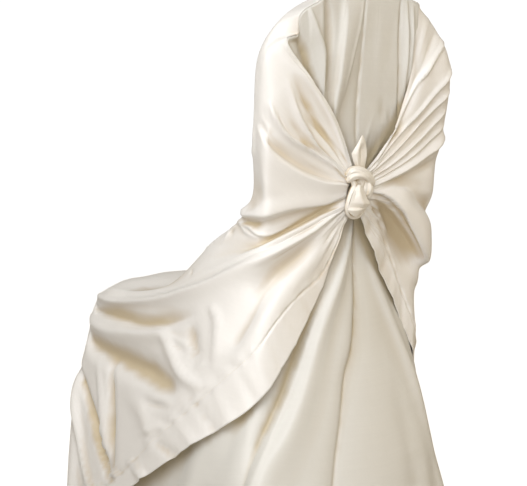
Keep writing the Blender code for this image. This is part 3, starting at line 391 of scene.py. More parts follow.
# Creases finer than the main folds, made on the folded cloth.
WRAP_FINE_FOLDS = [
    Fold("left, edge line", [(0.05, 0.14), (0.8, 0.12), (1.6, 0.12), (2.4, 0.12), (2.95, 0.1)],
         [0.5, 2.0, 2.2, 2.2, 1.0], [1.6, 1.8, 2, 2, 2]),
    Fold("left, groove by the edge line", [(0.3, 0.42), (0.8, 0.36), (1.6, 0.34), (2.4, 0.34), (2.95, 0.3)],
         [0, -1.2, -1.4, -1.2, 0], [1.6, 1.8, 2, 2, 2]),
    Fold("right, edge line", [(11.95, 0.12), (11.2, 0.1), (10.4, 0.1), (9.6, 0.1), (9.0, 0.1)],
         [0.5, 1.4, 1.6, 1.6, 0.6], [1.6, 1.8, 2, 2, 2]),
    Fold("left, shadow in the rolled band", [(1.5, 1.95), (1.28, 2.0), (0.97, 1.94), (0.6, 1.95)],
         [0, -3, -3, 0], [6, 6, 5, 3]),
    Fold("left, shadow between the ribs", [(1.7, 2.38), (1.47, 2.41), (1.25, 2.47), (0.9, 2.46)],
         [0, -2, -2, 0], [5, 5, 4, 3]),
    Fold("left, lip of the great fold",
         [(0.02, 2.99), (0.3, 3.08), (0.9, 3.08), (1.5, 3.07), (2.06, 3.03), (2.7, 2.95), (3.3, 2.9)],
         [0.6, 1.6, 2.4, 2.6, 2.4, 1.6, 0], [2, 2.5, 3, 3.5, 3.5, 4, 4], [1.5, 1.5, 2, 2, 2, 2.5, 3]),
    Fold("left, line over the great fold", [(2.9, 2.72), (2.4, 2.8), (1.9, 2.86), (1.5, 2.84)],
         [0, 1.4, 1.2, 0], [3]),
    Fold("left, short line", [(2.5, 2.4), (2.2, 2.55), (1.9, 2.68)], [0, 1.3, 0], [3]),
    Fold("left, second short line", [(2.2, 2.75), (1.8, 2.78), (1.4, 2.72)], [0, 1.2, 0], [3]),
    Fold("left, drag on the band", [(2.6, 3.4), (2.0, 3.6), (1.4, 3.7)], [0, 1.5, 0], [9, 10, 9]),
    Fold("left, second drag on the band", [(2.9, 3.75), (2.2, 3.85), (1.5, 3.85)], [0, -1.3, 0], [8]),
    Fold("left, wrinkle by the small fold", [(3.75, 4.31), (3.3, 4.6), (3.0, 4.91), (2.91, 5.19)],
         [0, 2.5, 2.5, 0], [4], crest=1.6),
    Fold("left, wrinkle down from the band", [(3.34, 4.34), (2.8, 4.6), (2.31, 4.84), (2.0, 4.95)],
         [0, 2.5, 2.5, 0], [4], crest=1.6),
    Fold("left, hollow of the triangle", [(3.4, 4.65), (3.0, 4.8), (2.7, 5.0)], [0, -3, 0], [6, 7, 6]),
    Fold("left, line in the valley", [(0.3, 4.95), (0.8, 5.25), (1.3, 5.4), (1.9, 5.5), (2.4, 5.7)],
         [0, 1.8, 2.2, 1.8, 0], [2, 3, 3, 3, 3], crest=1.7),
    Fold("left, line on the long ridge", [(0.4, 5.9), (0.9, 6.15), (1.5, 6.15), (2.1, 6.05), (2.7, 6.3)],
         [0, 1.6, 2.0, 1.8, 0], [2, 3, 3, 3, 3], crest=1.7),
    Fold("left, line below the long ridge", [(0.5, 6.55), (1.0, 6.75), (1.6, 6.75), (2.2, 6.6)],
         [0, -1.5, -1.8, 0], [3, 4, 4, 4]),
    Fold("left, drag from the knot", [(0.1, 7.0), (0.5, 7.3), (0.9, 7.5), (1.3, 7.7)],
         [0.6, 2.5, 2, 0], [2, 4, 6, 8]),
    Fold("left, second drag from the knot", [(0.1, 8.0), (0.45, 8.4), (0.8, 8.6), (1.15, 8.7)],
         [0.6, 2, 1.8, 0], [2, 4, 5, 6]),
    Fold("side, small crease", [(3.06, 7.44), (2.88, 7.59), (2.69, 7.88), (2.6, 8.3), (2.53, 8.75)],
         [0, 2.5, 3, 2.5, 0], [3, 3, 3, 3, 4], crest=1.7),
    Fold("side, second small crease", [(2.9, 7.9), (2.8, 8.15), (2.7, 8.45), (2.6, 8.8)],
         [0, 2, 2.5, 0], [3, 3, 3, 4], crest=1.7),
    Fold("side, dent", [(2.95, 7.62), (2.84, 7.74), (2.76, 7.92)], [0, -3, 0], [3, 4, 4]),
    Fold("side, lit patch", [(3.16, 8.22), (3.02, 8.42), (2.91, 8.6), (2.84, 8.85)],
         [0, 3, 3, 0], [5, 6, 5, 4]),
    Fold("side, shadow patch", [(3.12, 8.41), (2.99, 8.57), (2.9, 8.8)], [-1, -4, 0], [5, 5, 4]),
    Fold("side, lower lit patch", [(3.2, 8.75), (3.08, 8.85), (2.98, 9.0)], [0, 3, 0], [5, 5, 4]),
    Fold("seat, mark at the back corner", [(3.34, 5.62), (3.2, 5.8), (3.06, 5.97)], [0, -3, 0], [3, 4, 3]),
    Fold("seat, mark beside the ridge", [(3.44, 6.5), (3.25, 6.7), (3.09, 6.88)], [0, 2, 0], [4]),
    Fold("right, line on the broad rib", [(11.85, 3.98), (11.4, 3.84), (11.0, 3.66), (10.5, 3.55)],
         [0.5, 1.5, 1.5, 0], [1.5, 2, 2.5, 3], crest=1.7),
    Fold("right, drag below the hollow", [(11.7, 4.2), (11.3, 4.4), (10.9, 4.6), (10.5, 4.7)],
         [0.5, 2, 2, 0], [3, 5, 6, 8]),
    Fold("right, edge of the big fold",
         [(11.95, 4.28), (11.7, 4.5), (11.46, 4.88), (11.24, 5.18), (10.86, 5.5), (10.48, 5.58),
          (10.12, 5.52)],
         [0.6, 1.4, 1.8, 2.0, 2.0, 1.6, 0], [2, 2.5, 3, 3, 3, 3, 3], [1.2, 1.2, 1.4, 1.6, 1.6, 1.6, 1.6]),
    Fold("right, fold below the big fold", [(11.9, 5.6), (11.6, 6.0), (11.3, 6.5), (11.1, 7.0)],
         [0.6, 3, 3, 0], [2, 4, 5, 6]),
]
# How far the cover's edge is drawn in over the panel at the left of the top, by station, and the sections
# over which the cloth follows it.
LIP_STATIONS = [2.70, 2.92, 3.04, 3.14, 3.20, 3.27, 3.42, 3.56, 3.75, 4.12, 4.7]
LIP_DRAWN_MM = [0.0, 5.0, 17.0, 27.0, 29.0, 26.0, 17.0, 8.0, 5.0, 8.0, 0.0]
LIP_FADE = 2.2
# Faces between one station and the next, and between one section and the next.
WRAP_ALONG = [16, 22, 28, 42, 12, 8, 8, 10, 14, 12, 16, 14]
WRAP_DOWN = [9, 19, 32, 32, 27, 25, 21, 32, 27, 20]

# ---------------------------------------------------------------- the wrap's hem
# The stitched line of the hem, from the left of the knot round the front to its right.
HEM_SEAM = [
    (0.15, 9.75), (0.5, 9.75), (0.88, 9.55), (1.34, 9.0), (1.75, 8.86), (2.03, 8.9), (2.34, 8.87),
    (2.6, 8.98), (2.84, 9.06), (3.09, 9.12), (3.4, 9.25), (3.8, 9.2), (4.0, 9.1), (4.5, 9.0), (5.0, 9.0),
    (6.0, 9.0), (7.0, 9.0), (8.0, 9.0), (8.6, 9.0), (9.2, 9.0), (9.8, 8.8), (10.25, 8.56), (10.69, 8.34),
    (11.12, 7.6), (11.56, 6.4), (11.8, 5.9),
]
HEM_SUNK_MM = [-1.9]
HEM_SUNK_WIDE_MM = [2.1]
# The thread puckers the cloth above the seam, unevenly, over the seam's path between two of its points.
PUCKER_SEED = 7
PUCKERS = 104
PUCKER_POINTS = (0.2, len(HEM_SEAM) - 1.2)
PUCKER_SHIFT = (-0.03, 0.03)
PUCKER_LONG = (0.14, 0.46)
PUCKER_DRIFT = (0.0, 0.12)
PUCKER_HIGH_MM = (1.0, 2.6)
PUCKER_WIDE_MM = (3.2, 5.6)
# A pucker starts this far below the seam; from there up, its height and its width as shares of the full ones.
PUCKER_BELOW = 0.02
PUCKER_HEIGHTS = (1.0, 0.8, 0.0)
PUCKER_WIDTHS = (0.7, 1.0, 1.3)
# Puckers are stronger where the seam is drawn tight, by station.
PUCKER_STATIONS = [0.0, 1.8, 2.5, 3.0, 3.5, 4.2]
PUCKER_STRENGTHS = [0.45, 0.7, 1.3, 2.0, 2.3, 1.0]
# Below the seam the hem's doubled cloth ruffles out to its edge, at every third pucker.
RUFFLE_EVERY = 3
RUFFLE_SHARE = 1.25
RUFFLE_BELOW = 0.05
RUFFLE_END = 9.98
RUFFLE_HEIGHTS = (0.5, 1.0, 1.3)
RUFFLE_WIDTHS = (1.0, 1.4, 1.9)

# Small gathers that run out of the knot, by turns on its left and on its right.
GATHER_SEED = 11
GATHERS = 34
GATHER_SECTIONS = (0.6, 9.4)
GATHER_REACH = (0.5, 1.2)
GATHER_DRIFT = (-0.15, 0.15)
GATHER_HIGH_MM = (0.5, 1.8)
GATHER_WIDE_MM = (1.6, 3.2)
# Along a gather: its places as shares of its reach, and its heights and widths as shares of the full ones.
GATHER_PLACES = (0.0, 0.35, 0.7, 1.0)
GATHER_HEIGHTS = (0.5, 1.0, 0.6, 0.0)
GATHER_WIDTHS = (0.7, 1.0, 1.3, 1.6)

# ---------------------------------------------------------------- the back panel's form and folds
# Its sections below the arch, from the chest down to the hem. Points go from the hidden left edge, on the
# chair's side, round the left rear corner, across the back and round to the right side.
# On the backrest, out is the distance behind its rear face; below it, out is y.
PanelSection = namedtuple("PanelSection", "name on_backrest x out height")
PANEL_SECTIONS = [
    PanelSection("chest", on_backrest=True,
                 x=[0.136, 0.118, 0.088, 0.046, -0.002, -0.042, -0.078, -0.110, -0.134],
                 out=[-0.001, 0.002, 0.003, 0.003, 0.003, 0.003, 0.003, 0.002, -0.001],
                 height=[0.826, 0.850, 0.866, 0.878, 0.884, 0.882, 0.872, 0.845, 0.810]),
    PanelSection("neck", on_backrest=True, height=0.745,
                 x=[0.136, 0.112, 0.078, 0.040, 0.000, -0.040, -0.078, -0.112, -0.136],
                 out=[0.004] * 9),
    PanelSection("tied", on_backrest=True, height=0.645,
                 x=[0.110, 0.080, 0.050, 0.024, 0.000, -0.026, -0.054, -0.084, -0.114],
                 out=[0.004, 0.005, 0.006, 0.007, 0.007, 0.007, 0.006, 0.005, 0.004]),
    PanelSection("fan", on_backrest=True, height=0.560,
                 x=[0.130, 0.100, 0.066, 0.034, 0.006, -0.028, -0.062, -0.096, -0.132],
                 out=[0.003, 0.005, 0.010, 0.016, 0.018, 0.017, 0.015, 0.012, 0.006]),
    PanelSection("hip", on_backrest=False, height=0.430,
                 x=[0.205, 0.198, 0.158, 0.085, 0.016, -0.060, -0.132, -0.187, -0.200],
                 out=[0.165, 0.205, 0.245, 0.268, 0.280, 0.272, 0.257, 0.206, 0.155]),
    PanelSection("thigh", on_backrest=False, height=0.300,
                 x=[0.222, 0.220, 0.196, 0.106, 0.016, -0.086, -0.184, -0.210, -0.214],
                 out=[0.075, 0.170, 0.255, 0.292, 0.306, 0.296, 0.263, 0.168, 0.085]),
    PanelSection("knee", on_backrest=False, height=0.180,
                 x=[0.232, 0.232, 0.222, 0.130, 0.022, -0.102, -0.214, -0.228, -0.228],
                 out=[-0.030, 0.120, 0.270, 0.316, 0.328, 0.318, 0.272, 0.120, -0.020]),
    PanelSection("hem", on_backrest=False, height=0.006,
                 x=[0.2445, 0.244, 0.238, 0.146, 0.030, -0.114, -0.248, -0.242, -0.2435],
                 out=[-0.238, 0.040, 0.275, 0.336, 0.350, 0.342, 0.280, 0.040, -0.238]),
]
PANEL_STATIONS = [0.0, 0.14, 0.28, 0.39, 0.5, 0.61, 0.72, 0.86, 1.0]
PANEL_MAIN_FOLDS = [
    Fold("upper, left fold", [(1.12, 0.0), (1.44, 0.5), (1.88, 0.95), (2.06, 1.4), (2.2, 1.8)],
         [4, 7, 9, 8, 0], [3.5, 4, 4.5, 4, 4], [11, 13, 13, 9, 6], crest=1.6),
    Fold("upper, pocket at the left edge", [(0.4, 0.25), (0.75, 0.75), (1.35, 1.4), (1.8, 1.75)],
         [-4, -8, -8, 0], [8, 9, 8, 5]),
    Fold("upper, dark gap", [(1.8, 0.05), (2.14, 0.7), (2.33, 1.2), (2.55, 1.68)],
         [-5, -7, -6, 0], [8, 9, 8, 4], crest=2.4),
    Fold("upper, slanting fold",
         [(2.65, 0.05), (2.78, 0.45), (2.84, 0.84), (2.84, 1.31), (2.75, 1.66), (2.8, 2.1)],
         [6, 9, 10, 10, 8, 0], [38, 36, 30, 20, 12, 6], [9, 8, 7, 6, 5, 4]),
    Fold("upper, crease", [(3.58, 0.1), (3.66, 0.5), (3.78, 1.0), (3.9, 1.55), (4.1, 2.0), (4.35, 2.4)],
         [-1.5, -2.5, -3, -4, -4, 0], [2, 2, 2, 2, 2.5, 3], [5, 6, 8, 9, 7, 4], crest=1.5),
    Fold("upper, right crease", [(6.15, 0.05), (6.0, 0.5), (5.95, 0.9), (6.25, 1.5), (6.38, 1.8)],
         [-3, -4, -4, -3, 0], [4, 4, 4, 4, 3], [2.5], crest=1.6),
    Fold("upper, right fold", [(6.62, 0.0), (6.5, 0.5), (6.45, 1.0), (6.6, 1.5)],
         [5, 8, 7, 0], [3, 3.5, 3.5, 3], [5, 6, 6, 5], crest=1.6),
    Fold("upper, right second fold", [(7.15, 0.0), (7.05, 0.38), (6.85, 0.84), (6.85, 1.3)],
         [5, 8, 6, 0], [3], [4, 5, 5, 4], crest=1.6),
    Fold("upper, soft dent", [(5.2, 1.5), (5.34, 1.7), (5.5, 1.85)], [0, -3, 0], [9]),
    Fold("lower, lit ridge",
         [(4.72, 3.5), (4.42, 3.95), (4.05, 4.28), (3.5, 4.84), (3.1, 5.5), (2.68, 6.38), (2.35, 6.94),
          (2.1, 8)],
         [1, 4, 7, 10, 13, 15, 16, 17], [4, 7, 10, 16, 24, 32, 38, 48], [3, 5, 7, 10, 13, 17, 20, 26],
         crest=1.8),
    Fold("lower, centre valley",
         [(4.84, 3.3), (4.8, 3.9), (4.7, 4.31), (4.26, 5.25), (3.92, 5.69), (3.73, 6.28), (3.6, 6.88),
          (3.44, 8)],
         [-3, -6, -7, -8, -9, -9, -10, -11], [4, 10, 16, 26, 32, 38, 44, 56], [2, 3, 5, 9, 13, 17, 21, 28],
         crest=1.15),
    Fold("lower, line of the valley",
         [(4.84, 3.4), (4.8, 3.9), (4.7, 4.31), (4.26, 5.25), (3.92, 5.69), (3.73, 6.28), (3.6, 6.88),
          (3.44, 8)],
         [-1, -1.6, -1.6, -1.6, -1.8, -1.8, -1.8, -1.8], [1.6, 2, 2, 2.4, 2.6, 3, 3, 3.5]),
    Fold("lower, thin crease",
         [(3.35, 4.6), (3.09, 4.97), (2.88, 5.31), (2.56, 5.94), (2.28, 6.53), (2.05, 7.1), (1.85, 8)],
         [0, -5, -6, -7, -7, -7, -5], [3, 3, 3, 3.5, 4, 5, 8], [4, 7, 9, 11, 13, 14, 16], crest=1.5),
    Fold("lower, valley under the left side",
         [(3.3, 3.9), (2.9, 4.3), (2.55, 4.8), (2.2, 5.4), (1.85, 6.1), (1.5, 7.0)],
         [-4, -10, -12, -12, -8, 0], [6, 8, 12, 16, 20, 22]),
    Fold("lower, right edge of the flat", [(5.5, 4.2), (5.55, 4.8), (5.62, 5.6), (5.7, 6.6), (5.75, 8)],
         [0, 5, 7, 9, 12], [8, 10, 14, 18, 24], [6, 10, 14, 18, 24]),
    Fold("lower, right hollow", [(5.1, 5.6), (5.1, 6.6), (5.1, 8)], [0, -3, -7], [18, 24, 30]),
    Fold("lower, right corner fold", [(6.5, 4.4), (6.6, 5.4), (6.6, 6.6), (6.55, 8)],
         [0, -5, -8, -8], [10, 14, 18, 22]),
    Fold("lower, right side drawn in",
         [(5.9, 5.7), (5.93, 6.1), (5.88, 6.4), (5.8, 6.8), (5.7, 7.1), (5.6, 7.5), (5.5, 8)],
         [0, -8, -10, -11, -11, -11, -11], [20, 24, 26, 28, 30, 32, 34]),
    Fold("lower, left side ridge", [(1.15, 6.1), (1.2, 7), (1.2, 8)], [0, 6, 10], [16, 24, 34]),
]
PANEL_FINE_FOLDS = [
    Fold("upper, thin fold", [(1.12, 0.03), (1.46, 0.53), (1.93, 0.97), (2.06, 1.38)], [1, 2, 2, 0], [3]),
    Fold("upper, line in the slanting fold", [(3.5, 0.2), (3.45, 0.7), (3.3, 1.2), (3.1, 1.6)],
         [1, 1.6, 1.4, 0], [4, 4, 4, 3]),
    Fold("upper, soft drag", [(4.6, 0.3), (4.7, 1.0), (4.9, 1.6)], [0, 1.2, 0], [9, 10, 9]),
    Fold("upper, right soft drag", [(5.5, 0.3), (5.4, 0.9), (5.3, 1.3)], [0, -1.2, 0], [9, 10, 9]),
    Fold("upper, small dent", [(5.6, 1.62), (5.8, 1.75), (6.0, 1.8)], [0, -2, 0], [5]),
    Fold("upper, fan to the knot", [(4.9, 1.7), (4.6, 2.2), (4.4, 2.6)], [0, 2, 2], [6, 5, 4]),
    Fold("upper, second fan to the knot", [(5.9, 1.9), (5.4, 2.3), (5.0, 2.7)], [0, 2, 2], [6, 5, 4]),
    Fold("upper, third fan to the knot", [(3.4, 1.9), (3.8, 2.3), (4.1, 2.7)], [0, -2, -2], [6, 5, 4]),
    Fold("lower, line beside the thin crease",
         [(3.2, 4.95), (2.99, 5.35), (2.68, 5.94), (2.4, 6.53), (2.17, 7.1)],
         [0, 1.6, 2.2, 2, 0.6], [3, 3, 3, 3, 4]),
    Fold("lower, faint cross drag", [(4.6, 6.9), (5.2, 6.8), (5.6, 6.9)], [0, 1, 0], [8]),
    Fold("lower, second cross drag", [(4.2, 7.3), (4.9, 7.15), (5.5, 7.2)], [0, -1, 0], [8]),
    Fold("lower, third cross drag", [(4.8, 6.2), (5.2, 6.15), (5.5, 6.2)], [0, 0.8, 0], [7]),
]
PANEL_ALONG = [14, 24, 38, 38, 34, 32, 22, 10]
PANEL_DOWN = [24, 26, 20, 22, 26, 26, 28, 26]
# The middle of the arch, towards which the panel's top edge is drawn in, and how far it is sunk.
ARCH_CENTRE_HEIGHT = 0.84
ARCH_SINK = 0.0015
# The panel is sewn in this far under the wrap's edge, and reaches these sections of the wrap there.
TUCK_UNDER = 0.0018
TUCK_FADE = 0.85
TUCK_ROWS = (0.12, 0.24)
# The panel's stations and the wrap's that they are sewn to; its left corner is sewn in below the shoulder.
TUCK_STATIONS = ([0.0, 0.6, 8.0], [2.66, 3.45, 9.0])
# The panel's hem is stitched along this section, a little above its lower edge.
PANEL_HEM_SECTION = 7.84
PANEL_HEM = [(station, PANEL_HEM_SECTION) for station in range(len(PANEL_STATIONS))]

# ---------------------------------------------------------------- the knot and the tie's free ends
# The knot is wound of these ropes of gathered cloth. A bead is x, height, distance behind the chair, radius.
# pleats is how many folds a rope shows all round, and turns how often they wind about it.
Rope = namedtuple("Rope", "beads pleats turns")
KNOT_ROPES = {
    "core": Rope([
        (0.0018, 0.6734, 0.036, 0.0105), (-0.0004, 0.6569, 0.037, 0.0115), (-0.0013, 0.6403, 0.037, 0.011),
        (-0.002, 0.6237, 0.036, 0.0085),
    ], pleats=7, turns=0.2),
    "band, upper pleat": Rope([
        (0.0318, 0.673, 0.038, 0.0055), (0.0301, 0.6802, 0.042, 0.006), (0.0228, 0.6825, 0.0455, 0.0064),
        (0.0108, 0.681, 0.047, 0.0064), (-0.0027, 0.6759, 0.0465, 0.0058), (-0.0152, 0.6685, 0.044, 0.0052),
        (-0.0239, 0.6603, 0.040, 0.0046),
    ], pleats=6, turns=0.35),
    "band, lower pleat": Rope([
        (0.0314, 0.6649, 0.038, 0.0046), (0.0281, 0.6713, 0.044, 0.0058), (0.0216, 0.674, 0.0485, 0.006),
        (0.0105, 0.6737, 0.0495, 0.0058), (-0.0016, 0.670, 0.048, 0.0052), (-0.0139, 0.6635, 0.044, 0.0048),
    ], pleats=5, turns=0.3),
    "right lobe": Rope([
        (-0.0061, 0.6618, 0.042, 0.007), (-0.0097, 0.6527, 0.045, 0.0086), (-0.011, 0.6436, 0.043, 0.0074),
        (-0.0082, 0.6353, 0.039, 0.0055),
    ], pleats=5, turns=0.25),
    "left strand": Rope([
        (0.0222, 0.6665, 0.042, 0.0046), (0.0171, 0.6534, 0.044, 0.005), (0.0191, 0.6403, 0.044, 0.005),
        (0.019, 0.6271, 0.043, 0.0046),
    ], pleats=5, turns=-0.3),
    "filling over the loop": Rope([
        (0.0045, 0.6337, 0.040, 0.009), (0.0048, 0.6188, 0.0385, 0.0065),
    ], pleats=6, turns=0.1),
    "filling under the band": Rope([
        (0.0125, 0.669, 0.040, 0.006), (0.0078, 0.6622, 0.0415, 0.0064), (0.006, 0.654, 0.042, 0.0062),
    ], pleats=5, turns=0.1),
    "lower loop": Rope([
        (0.0181, 0.6584, 0.043, 0.0042), (0.0245, 0.646, 0.045, 0.0043), (0.028, 0.6337, 0.0455, 0.0042),
        (0.029, 0.6214, 0.0455, 0.0041), (0.0237, 0.6113, 0.0445, 0.0039), (0.0126, 0.6056, 0.043, 0.0037),
        (-0.0002, 0.6073, 0.041, 0.0037), (-0.009, 0.6144, 0.0395, 0.0044), (-0.0114, 0.6253, 0.038, 0.006),
    ], pleats=5, turns=0.4),
}
# A pleat's depth as a share of the rope's radius, and the direction that a rope's rings are turned from.
PLEAT_DEPTH = 0.16
ROPE_FRAME = (0.0, 1.0, 0.3)
# Rings from one bead to the next, and points round each.
ROPE_STEPS = 14
ROPE_SIDES = 42
# The knot is fused of cubes of this size, then smoothed.
KNOT_VOXEL = 0.0011
KNOT_SMOOTHING = 2
KNOT_SMOOTHED = 0.45

# A free end's rows, from its top down. A point is x, height and distance behind the backrest, from left to
# right.
UPPER_END = [
    [(0.0159, 0.738, 0.040), (0.0155, 0.7393, 0.0405), (0.0141, 0.7397, 0.0405), (0.0117, 0.7385, 0.040)],
    [(0.0206, 0.7261, 0.039), (0.0182, 0.7269, 0.042), (0.0132, 0.7276, 0.0425), (0.0035, 0.7274, 0.039)],
    [(0.0272, 0.7149, 0.038), (0.0205, 0.7157, 0.0435), (0.0105, 0.7162, 0.0375), (0.000, 0.716, 0.040)],
    [(0.0292, 0.7096, 0.037), (0.021, 0.7089, 0.044), (0.0095, 0.7083, 0.0385), (-0.0021, 0.707, 0.040)],
    [(0.0243, 0.6992, 0.037), (0.0191, 0.6992, 0.043), (0.0082, 0.6988, 0.040), (-0.0025, 0.6981, 0.039)],
    [(0.0177, 0.6896, 0.037), (0.0151, 0.6895, 0.0415), (0.0068, 0.689, 0.0405), (-0.0026, 0.6882, 0.038)],
    [(0.0164, 0.6797, 0.038), (0.012, 0.6798, 0.040), (0.0055, 0.6799, 0.040), (-0.0021, 0.6793, 0.038)],
]
LOWER_END = [
    [(0.0192, 0.6575, 0.050), (0.0191, 0.6589, 0.053), (0.0161, 0.6589, 0.054), (0.0095, 0.6567, 0.051)],
    [(0.0248, 0.6476, 0.051), (0.021, 0.6493, 0.053), (0.018, 0.6494, 0.0575), (0.0015, 0.6444, 0.052)],
    [(0.0286, 0.6378, 0.052), (0.0221, 0.6386, 0.054), (0.015, 0.6386, 0.060), (-0.005, 0.6353, 0.053)],
    [(0.0305, 0.6296, 0.052), (0.0226, 0.6288, 0.0555), (0.0088, 0.6268, 0.0615), (-0.0127, 0.6274, 0.0535)],
    [(0.0316, 0.6216, 0.051), (0.0212, 0.6213, 0.053), (0.0056, 0.6205, 0.054), (-0.006, 0.6211, 0.052)],
    [(0.0343, 0.6174, 0.053), (0.0268, 0.6164, 0.0585), (0.0139, 0.6167, 0.0585), (-0.0005, 0.6175, 0.0525)],
    [(0.0254, 0.6114, 0.051), (0.0194, 0.6071, 0.053), (0.0136, 0.6061, 0.053), (0.0061, 0.6106, 0.051)],
]
TIE_ENDS = {"tie_end_upper": UPPER_END, "tie_end_lower": LOWER_END}
# Faces between one point and the next, across and down, and how often the flats between them are softened.
END_ACROSS = 9
END_DOWN = 9
END_SOFTENING = 3
# A free end's stations run across it from 0 to 3, and its sections down it from 0 to 6.
END_FOLDS = {
    "tie_end_upper": [
        Fold("inner crease", [(1.75, 1.5), (1.85, 2.2), (1.9, 3.2), (1.7, 4.6)],
             [0, -1.4, -1.6, 0], [1.2, 1.5, 1.5, 1.5]),
        Fold("left pleat", [(0.6, 2.0), (0.7, 3.2), (0.9, 4.6), (0.9, 5.8)],
             [0, 0.8, 0.9, 0.4], [1.2, 1.4, 1.4, 1.2]),
    ],
    "tie_end_lower": [
        Fold("pleat beside the ridge", [(0.9, 0.6), (0.8, 1.8), (0.7, 3.0)], [0, -0.7, 0], [1.2, 1.5, 1.5]),
        Fold("small pleat", [(2.5, 1.2), (2.6, 2.2), (2.5, 3.2)], [0, -0.6, 0], [1.2, 1.4, 1.2]),
    ],
}
END_GAP = 0.0004

# ---------------------------------------------------------------- stitches
STITCH_SIZES = {"Pitch": 0.0042, "Length": 0.0026, "Thickness": 0.00055}
STITCH_SIDES = 6
STITCH_RINGS = 4
# How far a stitch's middle stands above the middle of the cloth, and how many points are read on a seam for
# each point of its path.
STITCH_PROUD = 0.0007
STITCH_LINE_STEPS = 40


# ---------------------------------------------------------------- smooth surfaces
# Lengths are never divided by less than this.
TINY = 1e-12
# A surface is a grid of points, the station of each of its columns and the section of each of its rows.
Surface = namedtuple("Surface", "points stations sections")
# Which way a grid's columns run round the cover, seen from above.
CLOCKWISE, ANTICLOCKWISE = 1, -1


def slopes(values, places):
    """Slopes of a curve through values that never overshoots them."""
    step = np.diff(places)[:, None, None]
    rise = np.diff(values, axis=0) / step
    before, after = rise[:-1], rise[1:]
    heavy = 2 * step[1:] + step[:-1]
    light = step[1:] + 2 * step[:-1]
    with np.errstate(divide="ignore", invalid="ignore"):
        mean = (heavy + light) / (heavy / before + light / after)
    inner = np.where(before * after > 0, mean, 0.0)
    return np.concatenate([rise[:1], inner, rise[-1:]])


def hermite(values, slope, i, step, t):
    """The cubic from value i to the next, at t of the way."""
    return (
        values[i] * (2 * t**3 - 3 * t**2 + 1)
        + values[i + 1] * (3 * t**2 - 2 * t**3)
        + slope[i] * step * (t**3 - 2 * t**2 + t)
        + slope[i + 1] * step * (t**3 - t**2)
    )


def through(values, places, where):
    """A smooth curve through values that lie at places along the first axis, read elsewhere."""
    values, places, where = (np.asarray(item, float) for item in (values, places, where))
    i = np.clip(np.searchsorted(places, where) - 1, 0, len(places) - 2)
    step = (places[i + 1] - places[i])[:, None, None]
    t = (where - places[i])[:, None, None] / step
    return hermite(values, slopes(values, places), i, step, t)


def across(grid, places, where):
    """The same along the second axis."""
    return through(grid.transpose(1, 0, 2), places, where).transpose(1, 0, 2)


def rounded(values, where):
    """A rounded curve through values that lie at whole numbers along the first axis, read elsewhere."""
    values, where = np.asarray(values, float), np.asarray(where, float)
    i = np.clip(np.floor(where).astype(int), 0, len(values) - 2)
    t = (where - i).reshape(-1, *[1] * (values.ndim - 1))
    return hermite(values, np.gradient(values, axis=0), i, 1.0, t)


def relaxed(grid, rounds):
    """The grid with its creases softened; its top edge and its two sides stay."""
    for _ in range(rounds):
        soft = grid.copy()
        soft[1:-1] = 0.5 * grid[1:-1] + 0.25 * (grid[2:] + grid[:-2])
        soft[:, 1:-1] = 0.5 * soft[:, 1:-1] + 0.25 * (soft[:, 2:] + soft[:, :-2])
        soft[0], soft[:, 0], soft[:, -1] = grid[0], grid[:, 0], grid[:, -1]
        grid = soft
    return grid


def points_at(grid, rows, columns):
    """The grid at fractional row and column numbers, which may be arrays of any matching shapes."""
    row = np.clip(np.floor(rows).astype(int), 0, grid.shape[0] - 2)
    column = np.clip(np.floor(columns).astype(int), 0, grid.shape[1] - 2)
    down, along = (rows - row)[..., None], (columns - column)[..., None]
    above = grid[row, column] * (1 - along) + grid[row, column + 1] * along
    below = grid[row + 1, column] * (1 - along) + grid[row + 1, column + 1] * along
    return above * (1 - down) + below * down


def on_surface(surface, grid, stations, sections):
    """A grid of the surface's size, read at stations and sections."""
    rows = np.interp(sections, surface.sections, range(len(surface.sections)))
    columns = np.interp(stations, surface.stations, range(len(surface.stations)))
    return points_at(grid, rows, columns)


def unit(vectors):
    """The vectors at length 1."""
    return vectors / np.maximum(np.linalg.norm(vectors, axis=-1, keepdims=True), TINY)


def outward(points, turn):
    """Unit normals that point out of a grid whose rows run down; turn is the way its columns run."""
    return unit(turn * np.cross(np.gradient(points, axis=1), np.gradient(points, axis=0)))


def spread(values, t):
    """Values spread evenly from 0 to 1, read at t."""
    return np.interp(t, np.linspace(0, 1, len(values)), values)


